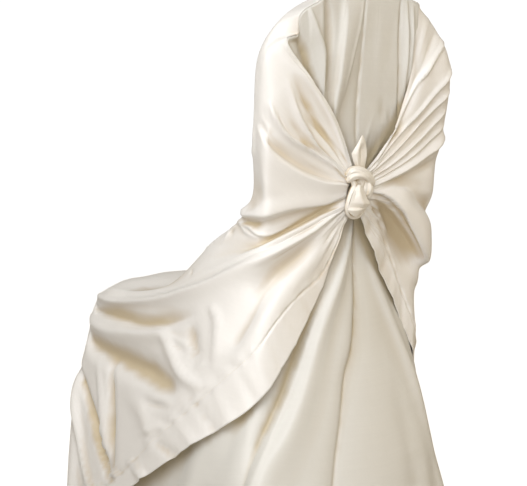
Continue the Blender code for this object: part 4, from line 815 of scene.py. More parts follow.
def fold_lift(surface, normals, fold):
    """The rows and columns of a surface that one fold reaches, and how it moves their points."""
    t = np.linspace(0, 1, FOLD_READINGS)
    path = rounded(fold.path, t * (len(fold.path) - 1))
    line = on_surface(surface, surface.points, *path.T)
    upright = on_surface(surface, normals, *path.T)
    tangent = unit(np.gradient(line, axis=0))
    left = unit(np.cross(upright, tangent))
    step = np.linalg.norm(np.gradient(line, axis=0), axis=1)

    near = [
        np.flatnonzero((numbers >= reach.min() - margin) & (numbers <= reach.max() + margin))
        for numbers, reach, margin in zip((surface.stations, surface.sections), path.T, FOLD_MARGIN)
    ]
    columns, rows = (slice(found[0], found[-1] + 1) for found in near)
    points = surface.points[rows, columns]
    flat = points.reshape(-1, 3)
    squared = (flat**2).sum(1)[:, None] - 2 * flat @ line.T + (line**2).sum(1)
    nearest = squared.argmin(axis=1)
    offset = flat - line[nearest]
    along = np.clip((offset * tangent[nearest]).sum(1), -step[nearest] / 2, step[nearest] / 2)
    apart = np.sqrt(np.maximum((offset**2).sum(1) - along**2, 0))
    t_there = np.clip(t[nearest] + along / np.maximum(step[nearest], TINY) / (FOLD_READINGS - 1), 0, 1)
    on_left = (offset * left[nearest]).sum(1) > 0
    right_mm = fold.right_mm or fold.left_mm
    wide = np.where(on_left, spread(fold.left_mm, t_there), spread(right_mm, t_there)) / 1000
    crest = np.exp(-((apart / wide) ** fold.crest))
    dip = np.exp(-((apart / wide / DIP_WIDER) ** 2))
    lift = spread(fold.high_mm, t_there) / 1000 * ((1 + fold.dip) * crest - fold.dip * dip)
    shape = points.shape[:2]
    moved = lift.reshape(shape)[..., None] * (
        normals[rows, columns] + fold.lean * left[nearest].reshape(*shape, 3)
    )
    return rows, columns, moved


def folded(surface, folds, turn):
    """The surface raised along each fold's path, or sunk where its height is negative."""
    normals = outward(surface.points, turn)
    points = surface.points.copy()
    for fold in folds:
        rows, columns, moved = fold_lift(surface, normals, fold)
        points[rows, columns] += moved
    return surface._replace(points=points)


def fine_steps(count, steps=FINE):
    """So many whole numbers from 0 up, with steps from each to the next."""
    return np.arange((count - 1) * steps + 1) / steps


def fine_columns(stations):
    """The stations' places with FINE steps from each to the next."""
    return np.interp(fine_steps(len(stations)), range(len(stations)), stations)


def plain_cloth(points, stations, edge=None):
    """A fine grid through sections of points, before its folds; edge replaces the first section."""
    along = across(points, stations, fine_columns(stations))
    if edge is not None:
        along[0] = edge
    return relaxed(through(along, range(len(points)), fine_steps(len(points))), RELAXING)


def counted(counts):
    """Whole numbers from 0 up, with the given counts of even steps from each to the next."""
    return np.concatenate([[0], *(i + np.arange(1, n + 1) / n for i, n in enumerate(counts))])


def close_grid(grid, along, down):
    """The plain cloth read on a closer grid, as a surface."""
    stations, sections = counted(along), counted(down)
    rows = rounded(grid, sections * FINE)
    points = rounded(rows.transpose(1, 0, 2), stations * FINE).transpose(1, 0, 2)
    return Surface(points, stations, sections)


# ---------------------------------------------------------------- the pieces' surfaces
def knot_point(side, degrees):
    """Where a line of an ear enters the knot, on an upright oval with straightened sides."""
    turn = math.radians(degrees)
    out_from_middle = side * KNOT_HALF_WIDTH * math.sin(turn) ** KNOT_SQUARENESS
    return behind(KNOT_X + out_from_middle, KNOT_HEIGHT + KNOT_HALF_HEIGHT * math.cos(turn), KNOT_OUT)


def quarter(front, middle):
    """The point between a section's front edge and its middle."""
    y, height = (QUARTER_EDGE * a + (1 - QUARTER_EDGE) * b for a, b in zip(front[1:], middle))
    return (QUARTER_OUT * front[0], y, height)


def wrap_points(section):
    """A section's points in order: knot, near, rear, side, front, quarter, middle, and back again."""
    left = [knot_point(1, section.knot[0]), *section.left, quarter(section.left[-1], section.middle)]
    right = [knot_point(-1, section.knot[1]), *section.right, quarter(section.right[-1], section.middle)]
    return [*left, (0.0, *section.middle), *reversed(right)]


def panel_points(section):
    """A section's points in order, from the hidden left edge to the right one."""
    heights = np.broadcast_to(section.height, len(section.x))
    base = rear_y(heights) if section.on_backrest else 0.0
    return np.stack([section.x, base + np.array(section.out), heights], axis=1)


def arch(wrap, places):
    """The panel's top edge: the wrap's edge over the top, drawn in by half the wall and a small gap."""
    columns = np.interp(places, [0, 1], [SHOULDER_LEFT * FINE, SHOULDER_RIGHT * FINE])
    edge = points_at(wrap, np.zeros(len(columns)), columns)
    inward = unit(behind(0.0, ARCH_CENTRE_HEIGHT, 0.0) - edge)
    return edge + inward * (CAD_CLOTH / 2 + SEAM_GAP) - [0, ARCH_SINK, 0]


def scaled(value, shares):
    """Each share of the value."""
    return [value * share for share in shares]


def hem_puckers():
    """Small creases across the hem's seam, unevenly spaced, most of them on its upper side."""
    random = np.random.default_rng(PUCKER_SEED)
    line = rounded(HEM_SEAM, np.linspace(*PUCKER_POINTS, PUCKERS))
    made = []
    for number, (station, section) in enumerate(line):
        station += random.uniform(*PUCKER_SHIFT)
        long = random.uniform(*PUCKER_LONG)
        drift = random.uniform(*PUCKER_DRIFT)
        strength = np.interp(station, PUCKER_STATIONS, PUCKER_STRENGTHS)
        high = random.uniform(*PUCKER_HIGH_MM) * strength * (1 if number % 2 else -1)
        wide = random.uniform(*PUCKER_WIDE_MM)
        path = [
            (station, section + PUCKER_BELOW),
            (station + drift / 2, section - long / 2),
            (station + drift, section - long),
        ]
        made.append(Fold(f"pucker {number}", path, scaled(high, PUCKER_HEIGHTS), scaled(wide, PUCKER_WIDTHS)))
        if number % RUFFLE_EVERY == 0:
            path = [
                (station, section + RUFFLE_BELOW),
                (station - drift / 2, (section + LAST_SECTION) / 2),
                (station - drift, RUFFLE_END),
            ]
            heights = scaled(high * RUFFLE_SHARE, RUFFLE_HEIGHTS)
            made.append(Fold(f"ruffle {number}", path, heights, scaled(wide, RUFFLE_WIDTHS)))
    return made


def knot_gathers():
    """Small pleats that run out of the knot and fade."""
    random = np.random.default_rng(GATHER_SEED)
    made = []
    for number in range(GATHERS):
        section = random.uniform(*GATHER_SECTIONS)
        reach = random.uniform(*GATHER_REACH)
        drift = random.uniform(*GATHER_DRIFT)
        high = random.uniform(*GATHER_HIGH_MM) * random.choice([-1, 1])
        wide = random.uniform(*GATHER_WIDE_MM)
        places = scaled(reach, GATHER_PLACES)
        if number % 2:
            places = [LAST_STATION - place for place in places]
        path = [(place, section + drift * i) for i, place in enumerate(places)]
        made.append(Fold(f"gather {number}", path, scaled(high, GATHER_HEIGHTS), scaled(wide, GATHER_WIDTHS)))
    return made


def wrap_surface(plain):
    """The wrap's cloth with all its folds, its hem's seam and its drawn-in edge."""
    surface = close_grid(plain, WRAP_ALONG, WRAP_DOWN)
    surface = folded(surface, WRAP_MAIN_FOLDS, CLOCKWISE)
    seam = Fold("hem seam", HEM_SEAM, HEM_SUNK_MM, HEM_SUNK_WIDE_MM)
    surface = folded(surface, [*WRAP_FINE_FOLDS, *knot_gathers(), *hem_puckers()], CLOCKWISE)
    return drawn_over(folded(surface, [seam], CLOCKWISE))


def drawn_over(wrap):
    """The wrap with its edge drawn in over the panel at the left of the top."""
    inward = unit(behind(0.0, ARCH_CENTRE_HEIGHT, 0.0) - wrap.points[0])
    drawn = np.interp(wrap.stations, LIP_STATIONS, LIP_DRAWN_MM) / 1000
    fade = np.clip(1 - wrap.sections / LIP_FADE, 0, 1) ** 2
    return wrap._replace(points=wrap.points + fade[:, None, None] * drawn[:, None] * inward)


def panel_surface(plain, wrap):
    """The back panel's cloth with all its folds, sewn in under the wrap's edge."""
    surface = close_grid(plain, PANEL_ALONG, PANEL_DOWN)
    surface = folded(surface, PANEL_MAIN_FOLDS, ANTICLOCKWISE)
    return tucked(folded(surface, PANEL_FINE_FOLDS, ANTICLOCKWISE), wrap)


def tucked(panel, wrap):
    """The panel with its top edge sewn in under the wrap's edge over the top."""
    stations = np.interp(panel.stations, *TUCK_STATIONS)
    normals = outward(wrap.points, CLOCKWISE)

    def under(section):
        """Points just under the wrap's cloth along one of its sections."""
        sections = np.full(len(stations), section)
        skin, up = (on_surface(wrap, grid, stations, sections) for grid in (wrap.points, normals))
        return skin - up * TUCK_UNDER

    fade = np.clip(1 - panel.sections / TUCK_FADE, 0, 1)[:, None, None] ** 2
    points = panel.points + fade * (under(0.0) - panel.points[0])
    hidden = TUCK_ROWS[::-1]
    points = np.concatenate([[under(section) for section in hidden], points])
    return Surface(points, panel.stations, np.concatenate([[-section for section in hidden], panel.sections]))


def end_surface(name):
    """A free end: flats between the points of its rows, softened where they meet, and creased."""
    rows = np.array([[behind(x, height, out + END_GAP) for x, height, out in row] for row in TIE_ENDS[name]])
    sections, stations = map(fine_steps, rows.shape[:2], (END_DOWN, END_ACROSS))
    flats = points_at(rows, *np.meshgrid(sections, stations, indexing="ij"))
    surface = Surface(relaxed(flats, END_SOFTENING), stations, sections)
    return folded(surface, END_FOLDS[name], ANTICLOCKWISE)


# ---------------------------------------------------------------- finishes
# A satin's crumple and weave are the heights of its relief. streak_share is how much of its uneven tone
# follows the yarn and not the crumples. on_uv lays its weave along the cloth; without it, it lies in space.
Satin = namedtuple("Satin", "name colour roughness crumple_mm weave_mm streak_share on_uv")
WRAP_SATIN = Satin(
    "ivory satin", (0.845, 0.825, 0.80),
    roughness=0.44, crumple_mm=1.6, weave_mm=0.05, streak_share=0.45, on_uv=True,
)
# The panel is the same satin as the wrap; its colour is darker and greyer as painted shade.
PANEL_SATIN_SHADED = Satin(
    "ivory satin, back panel", (0.69, 0.675, 0.635),
    roughness=0.50, crumple_mm=1.4, weave_mm=0.06, streak_share=0.6, on_uv=True,
)
KNOT_SATIN = Satin(
    "ivory satin, tied", (0.85, 0.81, 0.745),
    roughness=0.38, crumple_mm=0.5, weave_mm=0.05, streak_share=0.4, on_uv=False,
)
WHITE = (1, 1, 1, 1)
SATIN_SHEEN = 0.12
SATIN_SHEEN_ROUGHNESS = 0.45
SATIN_SPECULAR = 0.75
# The darkest and the lightest tone as shares of the colour, and the same for the roughness as differences.
SATIN_TONES = (0.955, 1.035)
SATIN_GLOSSES = (-0.05, 0.07)
# Painted shade: the satin's colour is darkened and warmed where a point lies deep among the folds, in place
# of shade and light passed from fold to fold. Its colour half way in, and right in.
HALF_WAY_IN = 0.5
PAINTED_SHADE_HALF = (0.83, 0.775, 0.695)
PAINTED_SHADE_DEEP = (0.73, 0.63, 0.45)
PAINTED_SHADE_LAYER = "hollow"

THREADS_PER_METRE = 900.0
WARP_SHARE = 0.25
STREAKS_PER_METRE = 160.0
STREAK_PARTS_PER_METRE = 9.0
STREAK_DETAIL = 3.0
STREAK_ROUGHNESS = 0.6
THREAD_RELIEF_SHARE = 0.5
STREAK_RELIEF_SHARE = 1.5
PATCHES_PER_METRE = 14.0
PATCH_DETAIL = 2.0
# The smaller patches: how many of them to a large one, their detail, and their share of its height.
SMALL_PATCHES = 5.0
SMALL_PATCH_DETAIL = 3.0
SMALL_PATCH_SHARE = 0.25

THREAD_IVORY = (0.86, 0.78, 0.64)
THREAD_SHEEN = 0.2
THREAD_TWISTS_PER_METRE = 900.0
THREAD_UNEVENNESS = 1.5
THREAD_TONES = (0.9, 1.0)
THREAD_ROUGHNESS = (0.5, 0.65)
THREAD_RELIEF = 0.0001


def feed(tree, node, inputs):
    """Set a node's inputs, each to a value or from another node's output."""
    for socket, value in inputs.items():
        if isinstance(value, bpy.types.NodeSocket):
            tree.links.new(value, node.inputs[socket])
        else:
            node.inputs[socket].default_value = value


def add_node(tree, kind, inputs=None, **settings):
    """A new node with its settings and its inputs."""
    made = tree.nodes.new(kind)
    for setting, value in settings.items():
        setattr(made, setting, value)
    feed(tree, made, inputs or {})
    return made


def add_group(name, inputs, outputs):
    """An empty shader group and what it is given; inputs is {name: (type, value)}, outputs {name: type}."""
    group = bpy.data.node_groups.new(name, "ShaderNodeTree")
    for socket, (kind, value) in inputs.items():
        group.interface.new_socket(socket, in_out="INPUT", socket_type=kind).default_value = value
    for socket, kind in outputs.items():
        group.interface.new_socket(socket, in_out="OUTPUT", socket_type=kind)
    return group, group.nodes.new("NodeGroupInput").outputs


def maths(tree, operation, *values):
    """The result of a sum, product or other operation on values."""
    return add_node(tree, "ShaderNodeMath", dict(enumerate(values)), operation=operation).outputs[0]


def mixed(tree, factor, first, second, blend="MIX"):
    """A mix of two colours."""
    inputs = {"Factor": factor, "A": first, "B": second}
    return add_node(tree, "ShaderNodeMix", inputs, data_type="RGBA", blend_type=blend).outputs["Result"]


def between(tree, value, ends):
    """A number from 0 to 1 spread between two ends."""
    inputs = {"Value": value, "To Min": ends[0], "To Max": ends[1]}
    return add_node(tree, "ShaderNodeMapRange", inputs).outputs["Result"]


def toned(colour, share):
    """The colour at a share of its brightness."""
    return (*(c * share for c in colour), 1)


def satin_weave_group():
    """The fine float threads of satin, across and along the cloth, and the soft streaks of uneven yarn."""
    group, given = add_group(
        "satin weave",
        {
            "Map": ("NodeSocketVector", (0, 0, 0)),
            "Threads per Metre": ("NodeSocketFloat", THREADS_PER_METRE),
            "Yarn Streaks per Metre": ("NodeSocketFloat", STREAKS_PER_METRE),
        },
        {"Height": "NodeSocketFloat", "Streaks": "NodeSocketFloat"},
    )
    along, down, _ = add_node(group, "ShaderNodeSeparateXYZ", {0: given["Map"]}).outputs
    turns = maths(group, "MULTIPLY", given["Threads per Metre"], 2 * math.pi)
    weft = maths(group, "SINE", maths(group, "MULTIPLY", down, turns))
    warp = maths(group, "SINE", maths(group, "MULTIPLY", along, turns))
    weft = maths(group, "MULTIPLY", weft, 1 - WARP_SHARE)
    threads = maths(group, "ADD", maths(group, "MULTIPLY", warp, WARP_SHARE), weft)

    stretch = {
        0: maths(group, "MULTIPLY", along, STREAK_PARTS_PER_METRE),
        1: maths(group, "MULTIPLY", down, given["Yarn Streaks per Metre"]),
    }
    noise = {
        "Vector": add_node(group, "ShaderNodeCombineXYZ", stretch).outputs[0],
        "Scale": 1.0,
        "Detail": STREAK_DETAIL,
        "Roughness": STREAK_ROUGHNESS,
    }
    streaks = add_node(group, "ShaderNodeTexNoise", noise).outputs[0]
    threads = maths(group, "MULTIPLY", threads, THREAD_RELIEF_SHARE)
    height = maths(group, "ADD", threads, maths(group, "MULTIPLY", streaks, STREAK_RELIEF_SHARE))
    add_node(group, "NodeGroupOutput", {"Height": height, "Streaks": streaks})
    return group


def soft_crumple_group():
    """Slight unevenness of washed cloth: its height, and a mask for colour and gloss."""
    group, given = add_group(
        "soft crumple",
        {
            "Place": ("NodeSocketVector", (0, 0, 0)),
            "Patches per Metre": ("NodeSocketFloat", PATCHES_PER_METRE),
        },
        {"Height": "NodeSocketFloat", "Patches": "NodeSocketFloat"},
    )
    large = {"Vector": given["Place"], "Scale": given["Patches per Metre"], "Detail": PATCH_DETAIL}
    patches = add_node(group, "ShaderNodeTexNoise", large).outputs[0]
    close = maths(group, "MULTIPLY", given["Patches per Metre"], SMALL_PATCHES)
    small = {"Vector": given["Place"], "Scale": close, "Detail": SMALL_PATCH_DETAIL}
    small_patches = add_node(group, "ShaderNodeTexNoise", small).outputs[0]
    height = maths(group, "ADD", patches, maths(group, "MULTIPLY", small_patches, SMALL_PATCH_SHARE))
    add_node(group, "NodeGroupOutput", {"Height": height, "Patches": patches})
    return group


def satin_tone_and_shade_group():
    """The satin's colour: uneven with its yarn and its crumples, and painted darker and warmer as shade deep
    among the folds.
    """
    group, given = add_group(
        "satin tone and painted shade",
        {
            "Darker": ("NodeSocketColor", WHITE),
            "Lighter": ("NodeSocketColor", WHITE),
            "Streaks": ("NodeSocketFloat", 0.5),
            "Patches": ("NodeSocketFloat", 0.5),
            "Streak Share": ("NodeSocketFloat", 0.5),
            "Depth": ("NodeSocketFloat", 0.0),
        },
        {"Colour": "NodeSocketColor"},
    )
    streaks = maths(group, "MULTIPLY", given["Streaks"], given["Streak Share"])
    patches = maths(group, "MULTIPLY", given["Patches"], maths(group, "SUBTRACT", 1.0, given["Streak Share"]))
    tone = mixed(group, maths(group, "ADD", streaks, patches), given["Darker"], given["Lighter"])
    # Painted shade: the colour is multiplied by a darker, warmer one the deeper the point lies among the
    # folds.
    painted_shade_ramp = add_node(group, "ShaderNodeValToRGB", {"Fac": given["Depth"]})
    painted_shade_ramp.color_ramp.elements[0].color = WHITE
    painted_shade_ramp.color_ramp.elements[1].color = (*PAINTED_SHADE_DEEP, 1)
    painted_shade_ramp.color_ramp.elements.new(HALF_WAY_IN).color = (*PAINTED_SHADE_HALF, 1)
    painted_shade_tone = mixed(group, 1.0, tone, painted_shade_ramp.outputs["Color"], "MULTIPLY")
    add_node(group, "NodeGroupOutput", {"Colour": painted_shade_tone})
    return group


SATIN_WEAVE = satin_weave_group()
SOFT_CRUMPLE = soft_crumple_group()
SATIN_TONE_AND_SHADE = satin_tone_and_shade_group()


def add_material(name):
    """A new material, its node tree and its shader."""
    made = bpy.data.materials.new(name)
    made.use_nodes = True
    return made, made.node_tree, made.node_tree.nodes["Principled BSDF"]


def satin(kind):
    """Satin: a soft wide gloss, a fine weave, slight changes of tone, and shade painted deep among the folds.
    """
    made, tree, shader = add_material(kind.name)
    place = add_node(tree, "ShaderNodeTexCoord").outputs
    lie = place["UV" if kind.on_uv else "Object"]
    weave = add_node(tree, "ShaderNodeGroup", {"Map": lie}, node_tree=SATIN_WEAVE).outputs
    crumple = add_node(tree, "ShaderNodeGroup", {"Place": place["Object"]}, node_tree=SOFT_CRUMPLE).outputs
    darker, lighter = (toned(kind.colour, share) for share in SATIN_TONES)
    # The tone: random, from the yarn and the crumples, and the painted shade kept with the mesh.
    tone = {
        "Darker": darker,
        "Lighter": lighter,
        "Streaks": weave["Streaks"],
        "Patches": crumple["Patches"],
        "Streak Share": kind.streak_share,
        "Depth": add_node(tree, "ShaderNodeAttribute", attribute_name=PAINTED_SHADE_LAYER).outputs["Fac"],
    }
    crumpled = {"Distance": kind.crumple_mm / 1000, "Height": crumple["Height"]}
    crumpled = add_node(tree, "ShaderNodeBump", crumpled).outputs["Normal"]
    woven = {"Distance": kind.weave_mm / 1000, "Height": weave["Height"], "Normal": crumpled}
    feed(tree, shader, {
        "Base Color": add_node(tree, "ShaderNodeGroup", tone, node_tree=SATIN_TONE_AND_SHADE).outputs["Colour"],
        "Roughness": between(tree, crumple["Patches"], [kind.roughness + step for step in SATIN_GLOSSES]),
        "Normal": add_node(tree, "ShaderNodeBump", woven).outputs["Normal"],
        "Sheen Weight": SATIN_SHEEN,
        "Sheen Roughness": SATIN_SHEEN_ROUGHNESS,
        "Specular IOR Level": SATIN_SPECULAR,
        "Metallic": 0.0,
    })
    return made


def thread_finish():
    """Twisted sewing thread, a little duller than the satin."""
    made, tree, shader = add_material("sewing thread")
    twist = {
        "Vector": add_node(tree, "ShaderNodeTexCoord").outputs["Object"],
        "Scale": THREAD_TWISTS_PER_METRE,
        "Distortion": THREAD_UNEVENNESS,
    }
    twist = add_node(tree, "ShaderNodeTexWave", twist, bands_direction="DIAGONAL").outputs["Fac"]
    lay = {"Distance": THREAD_RELIEF, "Height": twist}
    feed(tree, shader, {
        "Base Color": mixed(tree, twist, *(toned(THREAD_IVORY, share) for share in THREAD_TONES)),
        "Roughness": between(tree, twist, THREAD_ROUGHNESS),
        "Normal": add_node(tree, "ShaderNodeBump", lay).outputs["Normal"],
        "Sheen Weight": THREAD_SHEEN,
    })
    return made


# ---------------------------------------------------------------- how deep each point lies among the folds, for its painted shade
# Feelers go out from a point, up to this far, and each that meets cloth counts by how near it does.
FEELERS = 26
FEELER_REACH = 0.11
FEELER_START = 0.0035
FEELER_GAIN = 2.8
FEELER_FLOOR = 0.05
# Feelers are turned about each normal from this direction.
FEELER_SIDE = (0.31, 0.17, 0.93)
# Feelers are sent out from every third row and column only.
FEELER_STRIDE = 3
# A crease's depth below the cloth beside it adds painted shade too: the rows and columns between them, the
# depth in metres for its full shade, and its share of it. A ridge takes away up to RIDGE_SHARE of that share,
# painted lighter.
CREASE_REACHES = ((26, 13, 0.020, 0.45), (14, 7, 0.011, 0.40), (7, 4, 0.006, 0.20), (4, 2, 0.004, 0.12))
RIDGE_SHARE = 0.5


def feeler_directions():
    """Directions over a half ball, closer together about its pole."""
    number = np.arange(FEELERS) + 0.5
    up = np.sqrt(1 - number / FEELERS)
    turn = number * math.pi * (3 - math.sqrt(5))
    side = np.sqrt(1 - up**2)
    return np.stack([side * np.cos(turn), side * np.sin(turn), up], axis=1)


def shut_in(points, normals, cloth):
    """How far each point is shut in by cloth, from 0 to 1."""
    directions = feeler_directions()
    first = unit(np.cross(normals, FEELER_SIDE))
    second = np.cross(normals, first)
    found = np.zeros(len(points))
    for i, (point, normal, a, b) in enumerate(zip(points, normals, first, second)):
        start = Vector(point + normal * FEELER_START)
        for x, y, z in directions:
            distance = cloth.ray_cast(start, Vector(a * x + b * y + normal * z), FEELER_REACH)[3]
            if distance is not None:
                found[i] += 1 - distance / FEELER_REACH
    return np.clip((found / FEELERS - FEELER_FLOOR) * FEELER_GAIN, 0, 1)


def grid_faces(rows, columns, turn):
    """The faces of a grid of points, facing the way that outward() gives for the same turn."""
    number = np.arange(rows * columns).reshape(rows, columns)
    corners = [number[:-1, :-1], number[1:, :-1], number[1:, 1:], number[:-1, 1:]]
    if turn == CLOCKWISE:
        corners.reverse()
    return np.stack(corners, axis=-1).reshape(-1, 4)


def all_cloth(grids):
    """A search tree over the faces of several grids of points."""
    points, faces, start = [], [], 0
    for grid in grids:
        points.append(grid.reshape(-1, 3))
        faces.append(grid_faces(*grid.shape[:2], CLOCKWISE) + start)
        start += len(points[-1])
    return BVHTree.FromPolygons(np.concatenate(points).tolist(), np.concatenate(faces).tolist())


def moved_along(points, steps, axis):
    """The grid read some rows or columns further on, held at its edges."""
    size = points.shape[axis]
    return points.take(np.clip(np.arange(size) + steps, 0, size - 1), axis=axis)


def painted_shade_depths(points, turn, cloth):
    """For each point of a grid, how deep it lies among the folds, from 0 to 1, which sets its painted shade.
    """
    rows, columns = points.shape[:2]
    normals = outward(points, turn)
    some_rows, some_columns = (
        np.unique(np.append(np.arange(0, count, FEELER_STRIDE), count - 1)) for count in (rows, columns)
    )
    few = np.ix_(some_rows, some_columns)
    felt = shut_in(points[few].reshape(-1, 3), normals[few].reshape(-1, 3), cloth)
    felt = felt.reshape(len(some_rows), len(some_columns))
    felt = np.array([np.interp(np.arange(columns), some_columns, row) for row in felt])
    felt = np.array([np.interp(np.arange(rows), some_rows, column) for column in felt.T]).T
    creased = np.zeros((rows, columns))
    for down, along, full, share in CREASE_REACHES:
        above, below = (moved_along(points, steps, 0) for steps in (-down, down))
        left, right = (moved_along(points, steps, 1) for steps in (-along, along))
        depth = (((above + below + left + right) / 4 - points) * normals).sum(axis=2)
        creased += np.clip(depth / full, -RIDGE_SHARE, 1) * share
    return np.clip(felt + creased, 0, 1)


def add_painted_shade(mesh, depths):
    """Keep each point's depth among the folds with the mesh, for the shade that its finish paints."""
    mesh.attributes.new(PAINTED_SHADE_LAYER, "FLOAT", "POINT").data.foreach_set("value", depths)


# ---------------------------------------------------------------- making the pieces
def add_object(name, data):
    """A new object in the scene."""
    made = bpy.data.objects.new(name, data)
    bpy.context.scene.collection.objects.link(made)
    return made


def lengths(points, axis):
    """How far along the cloth each point of a grid lies from the grid's start on one axis."""
    steps = np.linalg.norm(np.diff(points, axis=axis), axis=2).cumsum(axis=axis)
    return np.concatenate([np.zeros_like(steps.take([0], axis=axis)), steps], axis=axis)


def cloth_map(points):
    """How far along the cloth each point of a grid lies from the middle column and from the top row."""
    along = lengths(points, 1)
    along -= along[:, [points.shape[1] // 2]]
    return np.stack([along, -lengths(points, 0)], axis=2)


def sheet(name, points, finish, turn, cloth):
    """A grid of points as a sheet of cloth with its thickness, facing out, mapped in metres of cloth, shade
    painted in its folds.
    """
    faces = grid_faces(*points.shape[:2], turn)
    mesh = bpy.data.meshes.new(name)
    mesh.from_pydata((points.reshape(-1, 3) - ORIGIN).tolist(), [], faces.tolist())
    cut = mesh.uv_layers.new(name="cloth")
    cut.data.foreach_set("uv", cloth_map(points).reshape(-1, 2)[faces.ravel()].ravel())
    # Painted shade: each point's depth among the folds, kept with the mesh.
    add_painted_shade(mesh, painted_shade_depths(points, turn, cloth).ravel())
    mesh.materials.append(finish)
    mesh.shade_smooth()
    made = add_object(name, mesh)
    thick = made.modifiers.new("cloth", "SOLIDIFY")
    thick.thickness = CLOTH
    thick.offset = 0.0
    return made


def rope_rings(rope):
    """The rings of points of one pleated rope."""
    beads = np.array(rope.beads, float)
    steps = np.linspace(0, len(beads) - 1, ROPE_STEPS * (len(beads) - 1) + 1)
    line = rounded(beads, steps)
    centres = np.array([behind(x, height, out) for x, height, out, _ in line])
    tangents = unit(np.gradient(centres, axis=0))
    across_rope = unit(np.cross(tangents, ROPE_FRAME))
    outwards = np.cross(across_rope, tangents)
    angles = np.linspace(0, 2 * math.pi, ROPE_SIDES, endpoint=False)
    share = steps[:, None] / steps[-1]
    pleat = np.abs(np.sin((angles + 2 * math.pi * rope.turns * share) * rope.pleats / 2))
    radius = line[:, 3:4] * (1 - PLEAT_DEPTH + 2 * PLEAT_DEPTH * pleat)
    return (
        centres[:, None]
        + (radius * np.cos(angles))[..., None] * across_rope[:, None]
        + (radius * np.sin(angles))[..., None] * outwards[:, None]
    )


def add_rope(shape, rings):
    """One rope's closed skin, with a rounded cap at each end."""
    grid = [[shape.verts.new(point - ORIGIN) for point in ring] for ring in rings]
    for first, second in zip(grid, grid[1:]):
        for i in range(len(first)):
            shape.faces.new((first[i], first[i - 1], second[i - 1], second[i]))
    for ring, place in ((grid[0], rings[0].mean(0)), (grid[-1], rings[-1].mean(0))):
        tip = shape.verts.new(place - ORIGIN)
        for i in range(len(ring)):
            shape.faces.new((ring[i - 1], ring[i], tip))


def finished(made):
    """The object with its modifiers made into its mesh."""
    graph = bpy.context.evaluated_depsgraph_get()
    mesh = bpy.data.meshes.new_from_object(made.evaluated_get(graph))
    made.modifiers.clear()
    old, made.data = made.data, mesh
    bpy.data.meshes.remove(old)
    mesh.name = made.name
    return made


def make_knot(name, finish, cloth):
    """The knot's ropes, fused into one softly pleated body, with shade painted where it is shut in by cloth.
    """
    shape = bmesh.new()
    for rope in KNOT_ROPES.values():
        add_rope(shape, rope_rings(rope))
    bmesh.ops.recalc_face_normals(shape, faces=shape.faces)
    mesh = bpy.data.meshes.new(name)
    shape.to_mesh(mesh)
    shape.free()
    mesh.materials.append(finish)
    made = add_object(name, mesh)
    fuse = made.modifiers.new("fuse", "REMESH")
    fuse.mode = "VOXEL"
    fuse.voxel_size = KNOT_VOXEL
    fuse.use_smooth_shade = True
    smooth = made.modifiers.new("smooth", "SMOOTH")
    smooth.iterations = KNOT_SMOOTHING
    smooth.factor = KNOT_SMOOTHED
    made = finished(made)
    # Painted shade: how far each point is shut in by the cloth round the knot or by the knot's own ropes.
    itself = BVHTree.FromObject(made, bpy.context.evaluated_depsgraph_get())
    places = np.array([vertex.co for vertex in made.data.vertices])
    normals = np.array([vertex.normal for vertex in made.data.vertices])
    among = np.maximum(shut_in(places + ORIGIN, normals, cloth), shut_in(places, normals, itself))
    add_painted_shade(made.data, among)
    return made


def stitching_tree(finish):
    """A Geometry Nodes tree that lays stitches along a line."""
    tree = bpy.data.node_groups.new("stitches along a line", "GeometryNodeTree")
    tree.interface.new_socket("Geometry", in_out="INPUT", socket_type="NodeSocketGeometry")
    for socket, value in STITCH_SIZES.items():
        tree.interface.new_socket(socket, in_out="INPUT", socket_type="NodeSocketFloat").default_value = value
    tree.interface.new_socket("Geometry", in_out="OUTPUT", socket_type="NodeSocketGeometry")
    given = tree.nodes.new("NodeGroupInput").outputs

    curve = add_node(tree, "GeometryNodeMeshToCurve", {"Mesh": given["Geometry"]})
    spaced = {"Curve": curve.outputs["Curve"], "Length": given["Pitch"]}
    places = add_node(tree, "GeometryNodeCurveToPoints", spaced, mode="LENGTH")
    # One metre across, so that its scale is the stitch's size.
    ball = {"Segments": STITCH_SIDES, "Rings": STITCH_RINGS, "Radius": 0.5}
    stitch = add_node(tree, "GeometryNodeMeshUVSphere", ball)
    size = {0: given["Thickness"], 1: given["Thickness"], 2: given["Length"]}
    lay = {
        "Points": places.outputs["Points"],
        "Instance": stitch.outputs["Mesh"],
        "Rotation": places.outputs["Rotation"],
        "Scale": add_node(tree, "ShaderNodeCombineXYZ", size).outputs[0],
    }
    laid = add_node(tree, "GeometryNodeInstanceOnPoints", lay).outputs["Instances"]
    real = add_node(tree, "GeometryNodeRealizeInstances", {"Geometry": laid}).outputs["Geometry"]
    smooth = add_node(tree, "GeometryNodeSetShadeSmooth", {"Geometry": real}).outputs["Geometry"]
    coat = add_node(tree, "GeometryNodeSetMaterial", {"Geometry": smooth, "Material": finish})
    add_node(tree, "NodeGroupOutput", {"Geometry": coat.outputs["Geometry"]})
    return tree


def stitches(name, surface, path, turn, tree):
    """Stitches along a path of stations and sections, lying on the outside of the cloth."""
    where = rounded(path, np.linspace(0, len(path) - 1, STITCH_LINE_STEPS * len(path)))
    line = on_surface(surface, surface.points, *where.T)
    up = on_surface(surface, outward(surface.points, turn), *where.T)
    line = line + up * STITCH_PROUD - ORIGIN
    mesh = bpy.data.meshes.new(name)
    mesh.from_pydata(line.tolist(), [(i, i + 1) for i in range(len(line) - 1)], [])
    made = add_object(name, mesh)
    made.modifiers.new("stitches", "NODES").node_group = tree
    return finished(made)


# ---------------------------------------------------------------- the studio
# Light from all round, and the wall behind as it is seen.
WORLD_COLOUR = (1.0, 0.92, 0.78)
WORLD_LIGHT = 0.35
WORLD_SEEN = 1.06
FLOOR_REACH = 12.0
FLOOR_COLOUR = (0.42, 0.38, 0.32)
FLOOR_ROUGHNESS = 0.9
FLOOR_SPECULAR = 0.1
FLOOR_SEEN = 0.92
